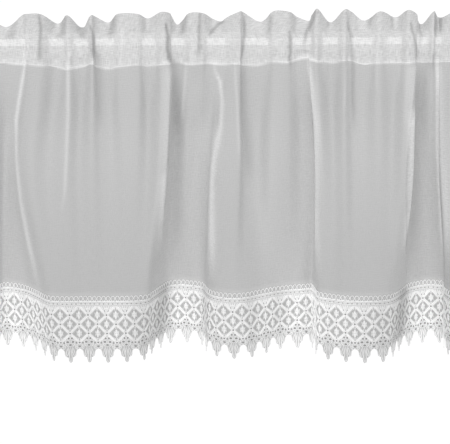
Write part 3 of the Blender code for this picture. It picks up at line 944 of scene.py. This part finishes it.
def folds_tree():
    """Repeats a flat chart along X, and lays it on the folds by their flat UV map."""
    tree, sockets, given, out = geometry_tree(
        "lay_chart_on_folds",
        (
            ("Chart", "NodeSocketObject"),
            ("Folds", "NodeSocketObject"),
            ("Repeats", "NodeSocketInt"),
            ("Repeat Width", "NodeSocketFloat"),
            ("Cloth Width", "NodeSocketFloat"),
            ("Finish", "NodeSocketMaterial"),
        ),
    )
    link = tree.links.new
    start = node(tree, "ShaderNodeCombineXYZ")
    link(maths(tree, "MULTIPLY", given.outputs["Repeat Width"], 0.5), start.inputs[0])
    step = node(tree, "ShaderNodeCombineXYZ")
    link(given.outputs["Repeat Width"], step.inputs[0])
    row = node(tree, "GeometryNodeMeshLine", mode="OFFSET")
    link(given.outputs["Repeats"], row.inputs["Count"])
    link(start.outputs[0], row.inputs["Start Location"])
    link(step.outputs[0], row.inputs["Offset"])
    chart = node(tree, "GeometryNodeObjectInfo")
    link(given.outputs["Chart"], chart.inputs["Object"])
    folds = node(tree, "GeometryNodeObjectInfo")
    link(given.outputs["Folds"], folds.inputs["Object"])
    copies = node(tree, "GeometryNodeInstanceOnPoints")
    link(row.outputs[0], copies.inputs["Points"])
    link(chart.outputs["Geometry"], copies.inputs["Instance"])
    real = node(tree, "GeometryNodeRealizeInstances")
    link(copies.outputs[0], real.inputs[0])
    place = node(tree, "GeometryNodeInputPosition")
    parts = node(tree, "ShaderNodeSeparateXYZ")
    link(place.outputs[0], parts.inputs[0])
    before = maths(tree, "LESS_THAN", parts.outputs[0], 0.0)
    past = maths(tree, "GREATER_THAN", parts.outputs[0], given.outputs["Cloth Width"])
    trimmed = node(tree, "GeometryNodeDeleteGeometry")
    link(real.outputs[0], trimmed.inputs["Geometry"])
    link(maths(tree, "MAXIMUM", before, past), trimmed.inputs["Selection"])
    flat = node(tree, "ShaderNodeCombineXYZ")
    link(parts.outputs[0], flat.inputs[0])
    link(parts.outputs[1], flat.inputs[1])
    kept = node(tree, "GeometryNodeStoreNamedAttribute", data_type="FLOAT2", domain="CORNER")
    kept.inputs["Name"].default_value = FLAT
    link(trimmed.outputs[0], kept.inputs["Geometry"])
    link(flat.outputs[0], kept.inputs["Value"])
    map_of_folds = node(tree, "GeometryNodeInputNamedAttribute", data_type="FLOAT_VECTOR")
    map_of_folds.inputs["Name"].default_value = FLAT

    def read_on_folds(field, kind):
        """A field of the folds, read where the chart's flat place lies on them."""
        sample = node(tree, "GeometryNodeSampleUVSurface", data_type=kind)
        link(folds.outputs["Geometry"], sample.inputs["Mesh"])
        link(field.outputs[0], sample.inputs["Value"])
        link(map_of_folds.outputs[0], sample.inputs[-2])
        link(flat.outputs[0], sample.inputs[-1])
        return sample.outputs[0]

    place_on_folds = read_on_folds(place, "FLOAT_VECTOR")
    way_out = read_on_folds(node(tree, "GeometryNodeInputNormal"), "FLOAT_VECTOR")
    out_of_cloth = node(tree, "ShaderNodeVectorMath", operation="SCALE")
    link(way_out, out_of_cloth.inputs[0])
    link(parts.outputs[2], out_of_cloth.inputs["Scale"])
    # The painted light and shade of the folds' creases, carried onto the cords.
    shade_of_folds = node(tree, "GeometryNodeInputNamedAttribute", data_type="FLOAT")
    shade_of_folds.inputs["Name"].default_value = "shade"
    shaded = node(tree, "GeometryNodeStoreNamedAttribute", data_type="FLOAT", domain="POINT")
    shaded.inputs["Name"].default_value = "shade"
    link(kept.outputs[0], shaded.inputs["Geometry"])
    link(read_on_folds(shade_of_folds, "FLOAT"), shaded.inputs["Value"])
    laid = node(tree, "ShaderNodeVectorMath", operation="ADD")
    link(place_on_folds, laid.inputs[0])
    link(out_of_cloth.outputs[0], laid.inputs[1])
    moved = node(tree, "GeometryNodeSetPosition")
    link(shaded.outputs[0], moved.inputs["Geometry"])
    link(laid.outputs[0], moved.inputs["Position"])
    finish = node(tree, "GeometryNodeSetMaterial")
    link(moved.outputs[0], finish.inputs["Geometry"])
    link(given.outputs["Finish"], finish.inputs["Material"])
    link(finish.outputs[0], out.inputs[0])
    return tree, sockets


def stitch_tree():
    """Lays a stitch at each pitch along a path."""
    tree, sockets, given, out = geometry_tree(
        "row_of_stitches",
        (
            ("Path", "NodeSocketObject"),
            ("Stitch", "NodeSocketObject"),
            ("Pitch", "NodeSocketFloat"),
            ("Finish", "NodeSocketMaterial"),
        ),
    )
    link = tree.links.new
    path = node(tree, "GeometryNodeObjectInfo")
    link(given.outputs["Path"], path.inputs["Object"])
    stitch = node(tree, "GeometryNodeObjectInfo")
    link(given.outputs["Stitch"], stitch.inputs["Object"])
    spots = node(tree, "GeometryNodeCurveToPoints", mode="LENGTH")
    link(path.outputs["Geometry"], spots.inputs["Curve"])
    link(given.outputs["Pitch"], spots.inputs["Length"])
    turn = node(tree, "FunctionNodeAlignRotationToVector", axis="X")
    link(spots.outputs["Tangent"], turn.inputs["Vector"])
    copies = node(tree, "GeometryNodeInstanceOnPoints")
    link(spots.outputs["Points"], copies.inputs["Points"])
    link(stitch.outputs["Geometry"], copies.inputs["Instance"])
    link(turn.outputs[0], copies.inputs["Rotation"])
    real = node(tree, "GeometryNodeRealizeInstances")
    link(copies.outputs[0], real.inputs[0])
    finish = node(tree, "GeometryNodeSetMaterial")
    link(real.outputs[0], finish.inputs["Geometry"])
    link(given.outputs["Finish"], finish.inputs["Material"])
    link(finish.outputs[0], out.inputs[0])
    return tree, sockets


def grown(name, tree, values):
    """A plain mesh object from a Geometry Nodes tree and the values for its inputs."""
    group, sockets = tree
    base = new_object(name + "_base", bpy.data.meshes.new(name))
    nodes = base.modifiers.new("nodes", "NODES")
    nodes.node_group = group
    for key, value in values.items():
        nodes[sockets[key]] = value
    bpy.context.view_layer.update()
    mesh = bpy.data.meshes.new_from_object(base.evaluated_get(bpy.context.evaluated_depsgraph_get()))
    bpy.data.objects.remove(base)
    made = new_object(name, mesh)
    made.data.name = name
    return made


def seated(made, slot, *replaced):
    """Every piece rides on the one body and stands for the node it replaces. The slot is not used."""
    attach(made, "root")
    for name in replaced:
        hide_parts(name)
    return made


# The camera's lens, where the rod's middle lies in the picture, the way the sun lamp shines and how many
# degrees it spreads, the strength of the backdrop that the camera sees, and the floor's size.
PHOTO_WIDTH = 450
PHOTO_HEIGHT = 444
ROD_ROW_IN_PHOTO = 41.2
LENS = 100
SENSOR_WIDTH = 36
KEY_LIGHT_AIM = (0.10, 0.80, -0.59)
SUN_SPREAD = 60
BACKDROP_STRENGTH = 1.02
FLOOR_SIZE = 40.0

LACE_LINE = cloth_line(level(LACE_TOP_Z), 8)
CLOTH_WIDTH = lengths_along(LACE_LINE)[-1]
REPEAT = CLOTH_WIDTH / LACE_REPEATS

# The sheet's rows run from the raw hem at the back over the frill and down the front. Each holds every
# gather's height, how far the rod parts the two layers there, how much of the rod's push both keep where
# they are sewn, and the layer: -1 at the back of the heading, 1 at its front, and 0 for the single cloth
# that hangs from it.
Row = namedtuple("Row", "levels apart kept layer")
CLOTH_STEPS = 12
STILL_PUSHED = 0.8
PUSH_ENDS = 0.3
TURNED_LENGTH = 0.08

# The hem's pale edge: its least strength, and how much it varies along the cloth. Then the most painted
# light that a crease may put on that edge, and how much more it may put away from it.
HEM_LEAST = 0.5
HEM_VARIES = 1.3
SHADE_ON_HEM = 0.6
SHADE_OFF_HEM = 4

# The heights between which the lower and the upper voile take their painted shade, darker towards the bottom
# and just under the pocket, and how far the rod has pushed the voile where it starts to lie on the rod and
# where it is pressed flat on it, for the painted light of the rod showing through.
LOWER_VOILE = (-0.30, -0.08)
UPPER_VOILE = (-0.15, -0.06)
PRESSED_ON_ROD = (0.0012, 0.0034)

# The rows of the hanging cloth, the rows of the folds under the lace with their step, and the steps from one
# gather to the next on the lace.
HANGING_ROWS = 62
GUIDE_ROWS = 48
GUIDE_STEP = 0.002
LACE_STEPS = 10

# The pocket's hem and the row of stitches over it, and how high the rows lie as shares of the rod and the hem.
HEMS = [-gather.fall * MM for gather in GATHERS]
LOW_STITCHES = [z + POCKET_HEM for z in HEMS]
HEM_LINE = cloth_line(HEMS, CLOTH_STEPS)
STITCH_LINE = cloth_line(LOW_STITCHES, CLOTH_STEPS)
STITCH_PROUD = 0.0002
STITCH_LENGTH = 0.4
THREAD_RADIUS = 0.00022
ROD_ROWS = (1.44, 1.18, 1.0, 0.93, 0.5, 0.0, -0.5, -0.93, -1.0, -1.18)
HEM_ROWS = (0.0, 0.45, 0.7, 0.85, 1.0)


def heading_rows(layer):
    """One layer of the heading, from the frill's edge down to the pocket's hem."""
    frill = [gather.rise * MM for gather in GATHERS]
    stitched, edge, under = level(POCKET_TOP), level(EDGE_ROOM), level(-EDGE_ROOM)
    rows = [Row(part_way(frill, stitched, k / 9), 0.0, 0.0, layer) for k in range(9)]
    rows += [Row(part_way(stitched, edge, k / 4), soft_step(0, 1, k / 4), 0.0, layer) for k in range(4)]
    rows += [Row(level(share * ROD_HALF_HEIGHT), 1.0, 1.0, layer) for share in ROD_ROWS]
    for k in range(7):
        kept = 1 - (1 - STILL_PUSHED) * soft_step(0.2, 1, k / 7)
        rows.append(Row(part_way(under, LOW_STITCHES, k / 7), 1 - soft_step(0.4, 1, k / 7), kept, layer))
    rows += [Row(part_way(LOW_STITCHES, HEMS, share), 0.0, STILL_PUSHED, layer) for share in HEM_ROWS]
    return rows


def hanging_rows(look, count):
    """The single cloth from just under the pocket's hem to behind the lace."""
    lowest = level(LACE_TOP_Z - look.behind_lace)
    rows = []
    for share in (0.001, 0.003, *((k + 0.6) / (count - 0.4) for k in range(count))):
        kept = STILL_PUSHED * (1 - soft_step(0, PUSH_ENDS, share))
        rows.append(Row(part_way(HEMS, lowest, share), 0.0, kept, 0))
    return rows


def laid(row, look):
    """One row of the cloth: its points, each one's flat place along the cloth, how far the rod has pushed it,
    and the shade of its creases."""
    bare = cloth_line(row.levels, CLOTH_STEPS)
    lengths = lengths_along(bare)
    along = [CLOTH_WIDTH * length / lengths[-1] for length in lengths]
    line = round_rod(bare, 1, max(row.apart, row.kept))
    if row.layer == -1:
        sewn = round_rod(bare, 1, row.kept * (row.apart < 1))
        line = [between(a, b, row.apart) for a, b in zip(sewn, round_rod(bare, -1, 1.0))]
    lift, shade = creases_on(bare)
    pucker = np.array([pucker_height(a, point[2], low[2]) for point, a, low in zip(bare, along, STITCH_LINE)])
    back = look.layer_gap if row.layer == -1 else 0.0
    moved = shifted(line, (lift + pucker) * (1 - row.apart) - back)
    pushed = np.array([after[1] - before[1] for before, after in zip(bare, line)])
    return moved, along, pushed, shade


def voile_sheet(look, count):
    """The panel from the pocket's hem at the back, over the frill and down its front to behind the lace."""
    rows = [*reversed(heading_rows(-1)), *heading_rows(1), *hanging_rows(look, count)]
    lines, flats = [], []
    kept = {"doubled": [], "hem": [], "on_rod": [], "shade": []}
    hem_height = np.array([point[2] for point in HEM_LINE])
    for row in rows:
        line, along, pushed, shade = laid(row, look)
        z = np.array([point[2] for point in line])
        side = np.minimum(along, CLOTH_WIDTH - np.array(along))
        lines.append(line)
        down = TURNED_LENGTH - z if row.layer == -1 else z
        flats.append(list(zip(along, down)))
        doubled = 1 - soft_step(look.side_hem, look.side_hem + 0.001, side)
        kept["doubled"].append(np.maximum(doubled, abs(row.layer)))
        edge = 1 - soft_step(look.hem_edge * 0.5, look.hem_edge, abs(z - hem_height))
        uneven = [noise.noise(Vector((a * 34, 0.4, row.layer))) for a in along]
        edge *= HEM_LEAST + HEM_VARIES * np.array(uneven)
        turned = look.turned_in * (1 - soft_step(POCKET_HEM, POCKET_HEM + 0.0016, z - hem_height))
        kept["hem"].append(np.maximum(edge, turned * abs(row.layer)))
        # Painted light where the front layer lies on the rod: the rod's white showing through.
        touches = row.layer == 1 and row.apart == 1 and abs(z[0]) < ROD_HALF_HEIGHT
        pressed = look.rod_shows + (1 - look.rod_shows) * soft_step(*PRESSED_ON_ROD, pushed)
        kept["on_rod"].append(touches * pressed)
        # Painted light and shade: the creases' shade, held down on the hem's edge, darker towards the bottom
        # and just under the pocket, and paler behind the lace where the lace's shadow falls.
        shade = np.minimum(shade, SHADE_ON_HEM + SHADE_OFF_HEM * (1 - edge) * (row.layer == 0))
        behind_lace = look.behind_lace_shade * soft_step(LACE_TOP_Z + 0.004, LACE_TOP_Z, z)
        darker = look.lower_shade * (1 - soft_step(*LOWER_VOILE, z))
        darker += look.upper_shade * soft_step(*UPPER_VOILE, z) * (row.layer == 0)
        kept["shade"].append(shade - darker + behind_lace)
    return new_object("voile_cloth", sheet_mesh("voile_cloth", lines, flats, kept))


def fold_guide(look):
    """The folds that the lace lies on, with their flat UV map and the painted light and shade of their creases.
    It is taken away once all is laid.
    """
    lines, flats, shades = [], [], []
    for k in range(GUIDE_ROWS):
        down = GUIDE_STEP * k - GUIDE_STEP
        bare = cloth_line(level(LACE_TOP_Z - down), LACE_STEPS)
        lengths = lengths_along(bare)
        lines.append(shifted(bare, [look.over_voile] * len(bare)))
        flats.append([(CLOTH_WIDTH * length / lengths[-1], down) for length in lengths])
        shades.append(creases_on(bare)[1])
    return new_object("fold_guide", sheet_mesh("fold_guide", lines, flats, {"shade": shades}))


# Half of a point's lower edge, in millimetres from its middle line and from the lace's upper edge.
EdgePlace = namedtuple("EdgePlace", "across down")
LOWER_EDGE = (
    EdgePlace(0.0, 89.8),
    EdgePlace(1.5, 89.0),
    EdgePlace(2.4, 86.6),
    EdgePlace(2.8, 82.4),
    EdgePlace(4.6, 82.2),
    EdgePlace(6.4, 81.2),
    EdgePlace(7.3, 78.6),
    EdgePlace(7.5, 75.8),
    EdgePlace(8.4, 73.2),
    EdgePlace(10.1, 71.6),
    EdgePlace(11.9, 71.0),
)


# How much of a diamond is net, and the depths between which the close ground gives way to the points' own.
NET_IN_DIAMOND = 0.72
POINT_GROUND = (0.0645, 0.0695)


def in_a_diamond(across, down):
    """1 in the open net of a diamond, 0 on the close work."""
    half = REPEAT / 2
    for middle, row in ((half, 1), (0.0, 2), (half, 3)):
        centre = LATTICE_TOP + row * LATTICE_STEP
        if abs(abs(across) - middle) / half + abs(down - centre) / LATTICE_STEP < NET_IN_DIAMOND:
            return 1.0
    return 0.0


def ground_sheet(look):
    """The lace's ground laid on the folds, down to its pointed edge."""
    edge = [(min(place.across * MM, REPEAT / 2), place.down * MM) for place in LOWER_EDGE]
    columns = []
    for repeat in range(LACE_REPEATS):
        middle = REPEAT * (repeat + 0.5)
        left = [(middle - across, -across, depth) for across, depth in reversed(edge)]
        right = [(middle + across, across, depth) for across, depth in edge[1:]]
        columns += (left if repeat == 0 else left[1:]) + right
    close_rows, point_rows = 40, 8
    lines, flats = [], []
    kept = {"open": [], "point": [], "shade": []}
    rows = [(GROUND_TOP + (POINTS_START - GROUND_TOP) * k / close_rows, 0.0) for k in range(close_rows)]
    rows += [(POINTS_START, k / point_rows) for k in range(point_rows + 1)]
    known = {}
    for start, share in rows:
        line, flat = [], []
        for along, across, depth in columns:
            down = start + (depth - start) * share
            key = round(down, 5)
            if key not in known:
                bare = cloth_line(level(LACE_TOP_Z - key), LACE_STEPS)
                known[key] = (shifted(bare, [look.over_voile] * len(bare)), lengths_along(bare))
            bent, lengths = known[key]
            target = min(1.0, max(0.0, along / CLOTH_WIDTH)) * lengths[-1]
            i = min(len(lengths) - 1, max(1, int(np.searchsorted(lengths, target))))
            part = (target - lengths[i - 1]) / (lengths[i] - lengths[i - 1])
            line.append(between(bent[i - 1], bent[i], part))
            flat.append((along, down))
        lines.append(line)
        flats.append(flat)
        kept["open"].append([in_a_diamond(column[1], place[1]) for column, place in zip(columns, flat)])
        kept["point"].append([soft_step(*POINT_GROUND, place[1]) for place in flat])
        # The painted light and shade of the creases.
        kept["shade"].append(creases_on(line)[1])
    return new_object("lace_ground", sheet_mesh("lace_ground", lines, flats, kept))


def path_on(row, out_by, look):
    """A curve along one row of the heading, that far in front of its cloth or behind it."""
    line = laid(row, look)[0]
    data = bpy.data.curves.new("stitch_path", "CURVE")
    data.dimensions = "3D"
    spline = data.splines.new("POLY")
    spline.points.add(len(line) - 1)
    for point, (x, out, z) in zip(spline.points, shifted(line, [out_by] * len(line))):
        point.co = (x, -out, z, 1.0)
    return new_object("stitch_path", data)


def length_property(name, description, default):
    return bpy.props.FloatProperty(
        name=name, description=description, default=default, unit="LENGTH", precision=5
    )


def share_property(name, description, default):
    return bpy.props.FloatProperty(
        name=name, description=description, default=default, min=0.0, max=1.0, subtype="FACTOR"
    )


def angle_property(name, description, degrees):
    return bpy.props.FloatProperty(
        name=name, description=description, default=math.radians(degrees), subtype="ANGLE"
    )


def strength_property(name, description, default):
    return bpy.props.FloatProperty(name=name, description=description, default=default)


class VoileLook(bpy.types.PropertyGroup):
    """The voile's sizes and greys."""

    thread_pitch: length_property("Thread pitch", "Distance from one thread to the next but one", 0.0011)
    layer_gap: length_property("Layer gap", "Distance between the two layers where they are sewn", 0.0009)
    behind_lace: length_property("Behind lace", "How far the voile runs down behind the lace", 0.0085)
    side_hem: length_property("Side hem", "Width of the hems at the two sides", 0.012)
    hem_edge: length_property("Hem edge", "Half the height of the pale edge at the pocket's hem", 0.0017)
    stitch_pitch: length_property("Stitch pitch", "Distance from one stitch to the next", 0.0030)
    single: share_property("Single layer", "Grey of one layer of voile", 0.405)
    doubled: share_property("Double layer", "Grey of two layers of voile", 0.57)
    hem: share_property("Hem", "Grey of the pocket's hem edge", 0.68)
    turned_in: share_property("Turned in", "How much of the hem's grey the turned-in edge above it has", 0.30)
    # Painted light: the voile's grey where it lies on the rod, and how much of it shows, standing for the white
    # rod seen through it.
    painted_rod_glow: share_property("Over the rod", "Grey of voile that lies on the white rod", 0.68)
    rod_shows: share_property("Rod shows", "How much of the rod shows through the voile in front of it", 0.35)
    # The creases' painted light and shade, the painted shade of the lower voile and of the voile just under the
    # pocket, and the painted light on the voile behind the lace.
    crease_shade: share_property("Crease shade", "How much paler or darker the voile is at its creases", 0.18)
    lower_shade: share_property("Lower shade", "How much of a crease's shade the lower voile has", 0.42)
    upper_shade: share_property("Upper shade", "The same for the voile just under the pocket", 0.34)
    behind_lace_shade: share_property("Shade behind lace", "How pale the voile is behind the lace", 1.0)
    cover: share_property("Cover", "How much one layer hides", 0.86)
    doubled_cover: share_property("Double cover", "How much the heading hides", 0.95)
    slubs: share_property("Slubs", "How much the threads vary in shade", 0.13)


class LaceLook(bpy.types.PropertyGroup):
    """The lace's sizes and greys."""

    over_voile: length_property("Over the voile", "How far in front of the voile the lace lies", 0.0010)
    net_pitch: length_property("Net pitch", "Pitch of the net in the diamonds", 0.0016)
    cord_pitch: length_property("Cord pitch", "Pitch of the cords' own threads", 0.0008)
    close_work: share_property("Close work", "Grey of the close ground", 0.62)
    net: share_property("Net", "Grey of the open net", 0.37)
    points: share_property("Points", "Grey of the ground in the points", 0.50)
    # Painted shade: the grey inside the eyelets stands for the shaded voile seen through them.
    eyelet: share_property("Eyelets", "Grey inside the eyelets", 0.22)
    net_cover: share_property("Net cover", "How much the open net hides", 0.90)
    cord: share_property("Cord", "Grey of the raised cords", 0.93)
    point_cord: share_property("Cord in the points", "Grey of the raised cords in the points", 0.90)
    flower: share_property("Flowers", "Grey of the flowers in the diamonds", 0.92)
    # Painted light and shade on the lace at its creases.
    crease_shade: share_property("Crease shade", "How much paler or darker the lace is at its creases", 0.14)


class RodLook(bpy.types.PropertyGroup):
    """The rod's finish."""

    lacquer: share_property("Lacquer", "Grey of the white lacquer", 0.86)


class StageLook(bpy.types.PropertyGroup):
    """The studio."""

    floor_drop: length_property("Floor", "How far the floor lies under the rod", 1.60)
    room_light: strength_property("Room light", "Strength of the light from all sides", 0.80)
    key_light: strength_property("Key light", "Strength of the sun lamp", 1.5)
    camera_distance: length_property("Camera distance", "Distance along the view axis to the rod", 1.57)
    camera_pitch: angle_property("Camera pitch", "How far the camera looks down", 14.3)
    camera_roll: angle_property("Camera roll", "How far the camera leans", -0.27)


class CURTAIN_OT_rod(bpy.types.Operator):
    """Gives the flat rod its white lacquer"""

    bl_idname = "curtain.rod"
    bl_label = "Finish the rod"

    def execute(self, context):
        rod = bpy.data.objects["curtain_rod"]
        finish = rod_material(context.scene.curtain_rod_look)
        for slot in rod.material_slots:
            slot.material = finish
        return {"FINISHED"}


class CURTAIN_OT_voile(bpy.types.Operator):
    """Hangs the voile panel with its turned heading"""

    bl_idname = "curtain.voile"
    bl_label = "Hang the voile"

    def execute(self, context):
        look = context.scene.curtain_voile_look
        made = voile_sheet(look, HANGING_ROWS)
        made.data.materials.append(voile_material(look))
        seated(made, "voile", "voile_panel")
        return {"FINISHED"}


class CURTAIN_OT_stitches(bpy.types.Operator):
    """Sews the two rows of stitches that make the rod pocket"""

    bl_idname = "curtain.stitches"
    bl_label = "Sew the heading"

    def execute(self, context):
        look = context.scene.curtain_voile_look
        work = bmesh.new()
        bmesh.ops.create_uvsphere(work, u_segments=6, v_segments=4, radius=1.0)
        size = (look.stitch_pitch * STITCH_LENGTH, THREAD_RADIUS, THREAD_RADIUS)
        bmesh.ops.scale(work, vec=size, verts=work.verts)
        data = bpy.data.meshes.new("one_stitch")
        work.to_mesh(data)
        work.free()
        data.shade_smooth()
        stitch = new_object("one_stitch", data)
        finish = thread_material(look)
        tree = stitch_tree()
        rows = []
        for levels, kept in ((level(POCKET_TOP), 0.0), (LOW_STITCHES, STILL_PUSHED)):
            for layer in (-1, 1):
                path = path_on(Row(levels, 0.0, kept, layer), STITCH_PROUD * layer, look)
                values = {"Path": path, "Stitch": stitch, "Pitch": look.stitch_pitch, "Finish": finish}
                rows.append(grown("stitches", tree, values))
                bpy.data.objects.remove(path)
        made = joined(rows, "heading_stitches")
        bpy.data.objects.remove(stitch)
        seated(made, "voile")
        return {"FINISHED"}


def joined(objects, name):
    """The objects' meshes as one object."""
    work = bmesh.new()
    for made in objects:
        work.from_mesh(made.data)
    mesh = objects[0].data.copy()
    work.to_mesh(mesh)
    work.free()
    for made in objects:
        bpy.data.objects.remove(made)
    mesh.name = name
    return new_object(name, mesh)


class CURTAIN_OT_lace(bpy.types.Operator):
    """Sews on the lace border: its ground, and the cords that are raised on it"""

    bl_idname = "curtain.lace"
    bl_label = "Sew on the lace"

    def execute(self, context):
        look = context.scene.curtain_lace_look
        ground = ground_sheet(look)
        ground.data.materials.append(ground_material(look, REPEAT))
        seated(ground, "lace", "lace_border")
        guide = fold_guide(look)
        white = cord_material(look, "lace_cord", look.cord)
        of_flowers = cord_material(look, "flower_cord", look.flower)
        of_points = cord_material(look, "point_cord", look.point_cord)
        tree = folds_tree()
        charts = (
            (chart_bands, white),
            (chart_flowers, of_flowers),
            (chart_points, of_points),
            (chart_heading, white),
        )
        for draw, finish in charts:
            chart = draw(REPEAT)
            flat = chart.finished()
            values = {
                "Chart": flat,
                "Folds": guide,
                "Repeats": LACE_REPEATS,
                "Repeat Width": REPEAT,
                "Cloth Width": CLOTH_WIDTH,
                "Finish": finish,
            }
            seated(grown(chart.name, tree, values), "lace", "lace_border")
            bpy.data.objects.remove(flat)
        bpy.data.objects.remove(guide)
        return {"FINISHED"}


class CURTAIN_OT_stage(bpy.types.Operator):
    """Sets the floor, the lights and the camera"""

    bl_idname = "curtain.stage"
    bl_label = "Set the stage"

    def execute(self, context):
        look = context.scene.curtain_stage_look
        scene = context.scene
        work = bmesh.new()
        bmesh.ops.create_grid(work, x_segments=8, y_segments=8, size=FLOOR_SIZE)
        data = bpy.data.meshes.new("floor")
        work.to_mesh(data)
        work.free()
        floor = new_object("floor", data)
        floor.location.z = -look.floor_drop
        paint, _, shader = new_material("pale_floor")
        shader.inputs["Base Color"].default_value = grey(0.96)
        shader.inputs["Roughness"].default_value = 1.0
        shader.inputs["Specular IOR Level"].default_value = 0.0
        data.materials.append(paint)
        world = bpy.data.worlds.new("studio")
        scene.world = world
        world.use_nodes = True
        tree = world.node_tree
        back = tree.nodes["Background"]
        back.inputs["Color"].default_value = grey(1.0)
        ray = node(tree, "ShaderNodeLightPath")
        seen_more = BACKDROP_STRENGTH - look.room_light
        strength = maths(tree, "MULTIPLY_ADD", ray.outputs["Is Camera Ray"], seen_more, look.room_light)
        tree.links.new(strength, back.inputs["Strength"])
        sun = bpy.data.lights.new("key", "SUN")
        sun.energy = look.key_light
        sun.angle = math.radians(SUN_SPREAD)
        lamp = new_object("key", sun)
        lamp.rotation_euler = Vector(KEY_LIGHT_AIM).to_track_quat("-Z", "Y").to_euler()
        pitch = look.camera_pitch
        camera = new_object("camera", bpy.data.cameras.new("camera"))
        camera.data.lens = LENS
        camera.data.sensor_width = SENSOR_WIDTH
        focal = PHOTO_WIDTH * LENS / SENSOR_WIDTH
        drop = pitch - math.atan((PHOTO_HEIGHT / 2 - ROD_ROW_IN_PHOTO) / focal)
        level_way = look.camera_distance / (math.cos(pitch) + math.tan(drop) * math.sin(pitch))
        place = Vector((0.0, -level_way, level_way * math.tan(drop)))
        aim = Vector((0.0, math.cos(pitch), -math.sin(pitch)))
        turn = aim.to_track_quat("-Z", "Y").to_matrix().to_4x4()
        camera.matrix_world = Matrix.Translation(place) @ turn @ Matrix.Rotation(look.camera_roll, 4, "Z")
        scene.camera = camera
        scene.view_settings.view_transform = "Standard"
        return {"FINISHED"}


class CURTAIN_PT_panel(bpy.types.Panel):
    """Lists the curtain's pieces and their settings"""

    bl_idname = "CURTAIN_PT_panel"
    bl_label = "Cafe Curtain"
    bl_space_type = "VIEW_3D"
    bl_region_type = "UI"
    bl_category = "Curtain"

    def draw(self, context):
        for operator, look in STEPS:
            box = self.layout.box()
            box.operator(operator.bl_idname)
            settings = getattr(context.scene, look)
            for key in settings.__annotations__:
                box.prop(settings, key)


STEPS = (
    (CURTAIN_OT_rod, "curtain_rod_look"),
    (CURTAIN_OT_stitches, "curtain_voile_look"),
    (CURTAIN_OT_voile, "curtain_voile_look"),
    (CURTAIN_OT_lace, "curtain_lace_look"),
    (CURTAIN_OT_stage, "curtain_stage_look"),
)
LOOKS = {
    "curtain_voile_look": VoileLook,
    "curtain_lace_look": LaceLook,
    "curtain_rod_look": RodLook,
    "curtain_stage_look": StageLook,
}


def register():
    for name, look in LOOKS.items():
        bpy.utils.register_class(look)
        setattr(bpy.types.Scene, name, bpy.props.PointerProperty(type=look))
    for operator, _ in STEPS:
        bpy.utils.register_class(operator)
    bpy.utils.register_class(CURTAIN_PT_panel)


def unregister():
    bpy.utils.unregister_class(CURTAIN_PT_panel)
    for operator, _ in STEPS:
        bpy.utils.unregister_class(operator)
    for name, look in LOOKS.items():
        delattr(bpy.types.Scene, name)
        bpy.utils.unregister_class(look)


def main():
    register()
    bpy.ops.curtain.rod()
    bpy.ops.curtain.stitches()
    bpy.ops.curtain.voile()
    bpy.ops.curtain.lace()
    bpy.ops.curtain.stage()


if __name__ == "__main__":
    main()
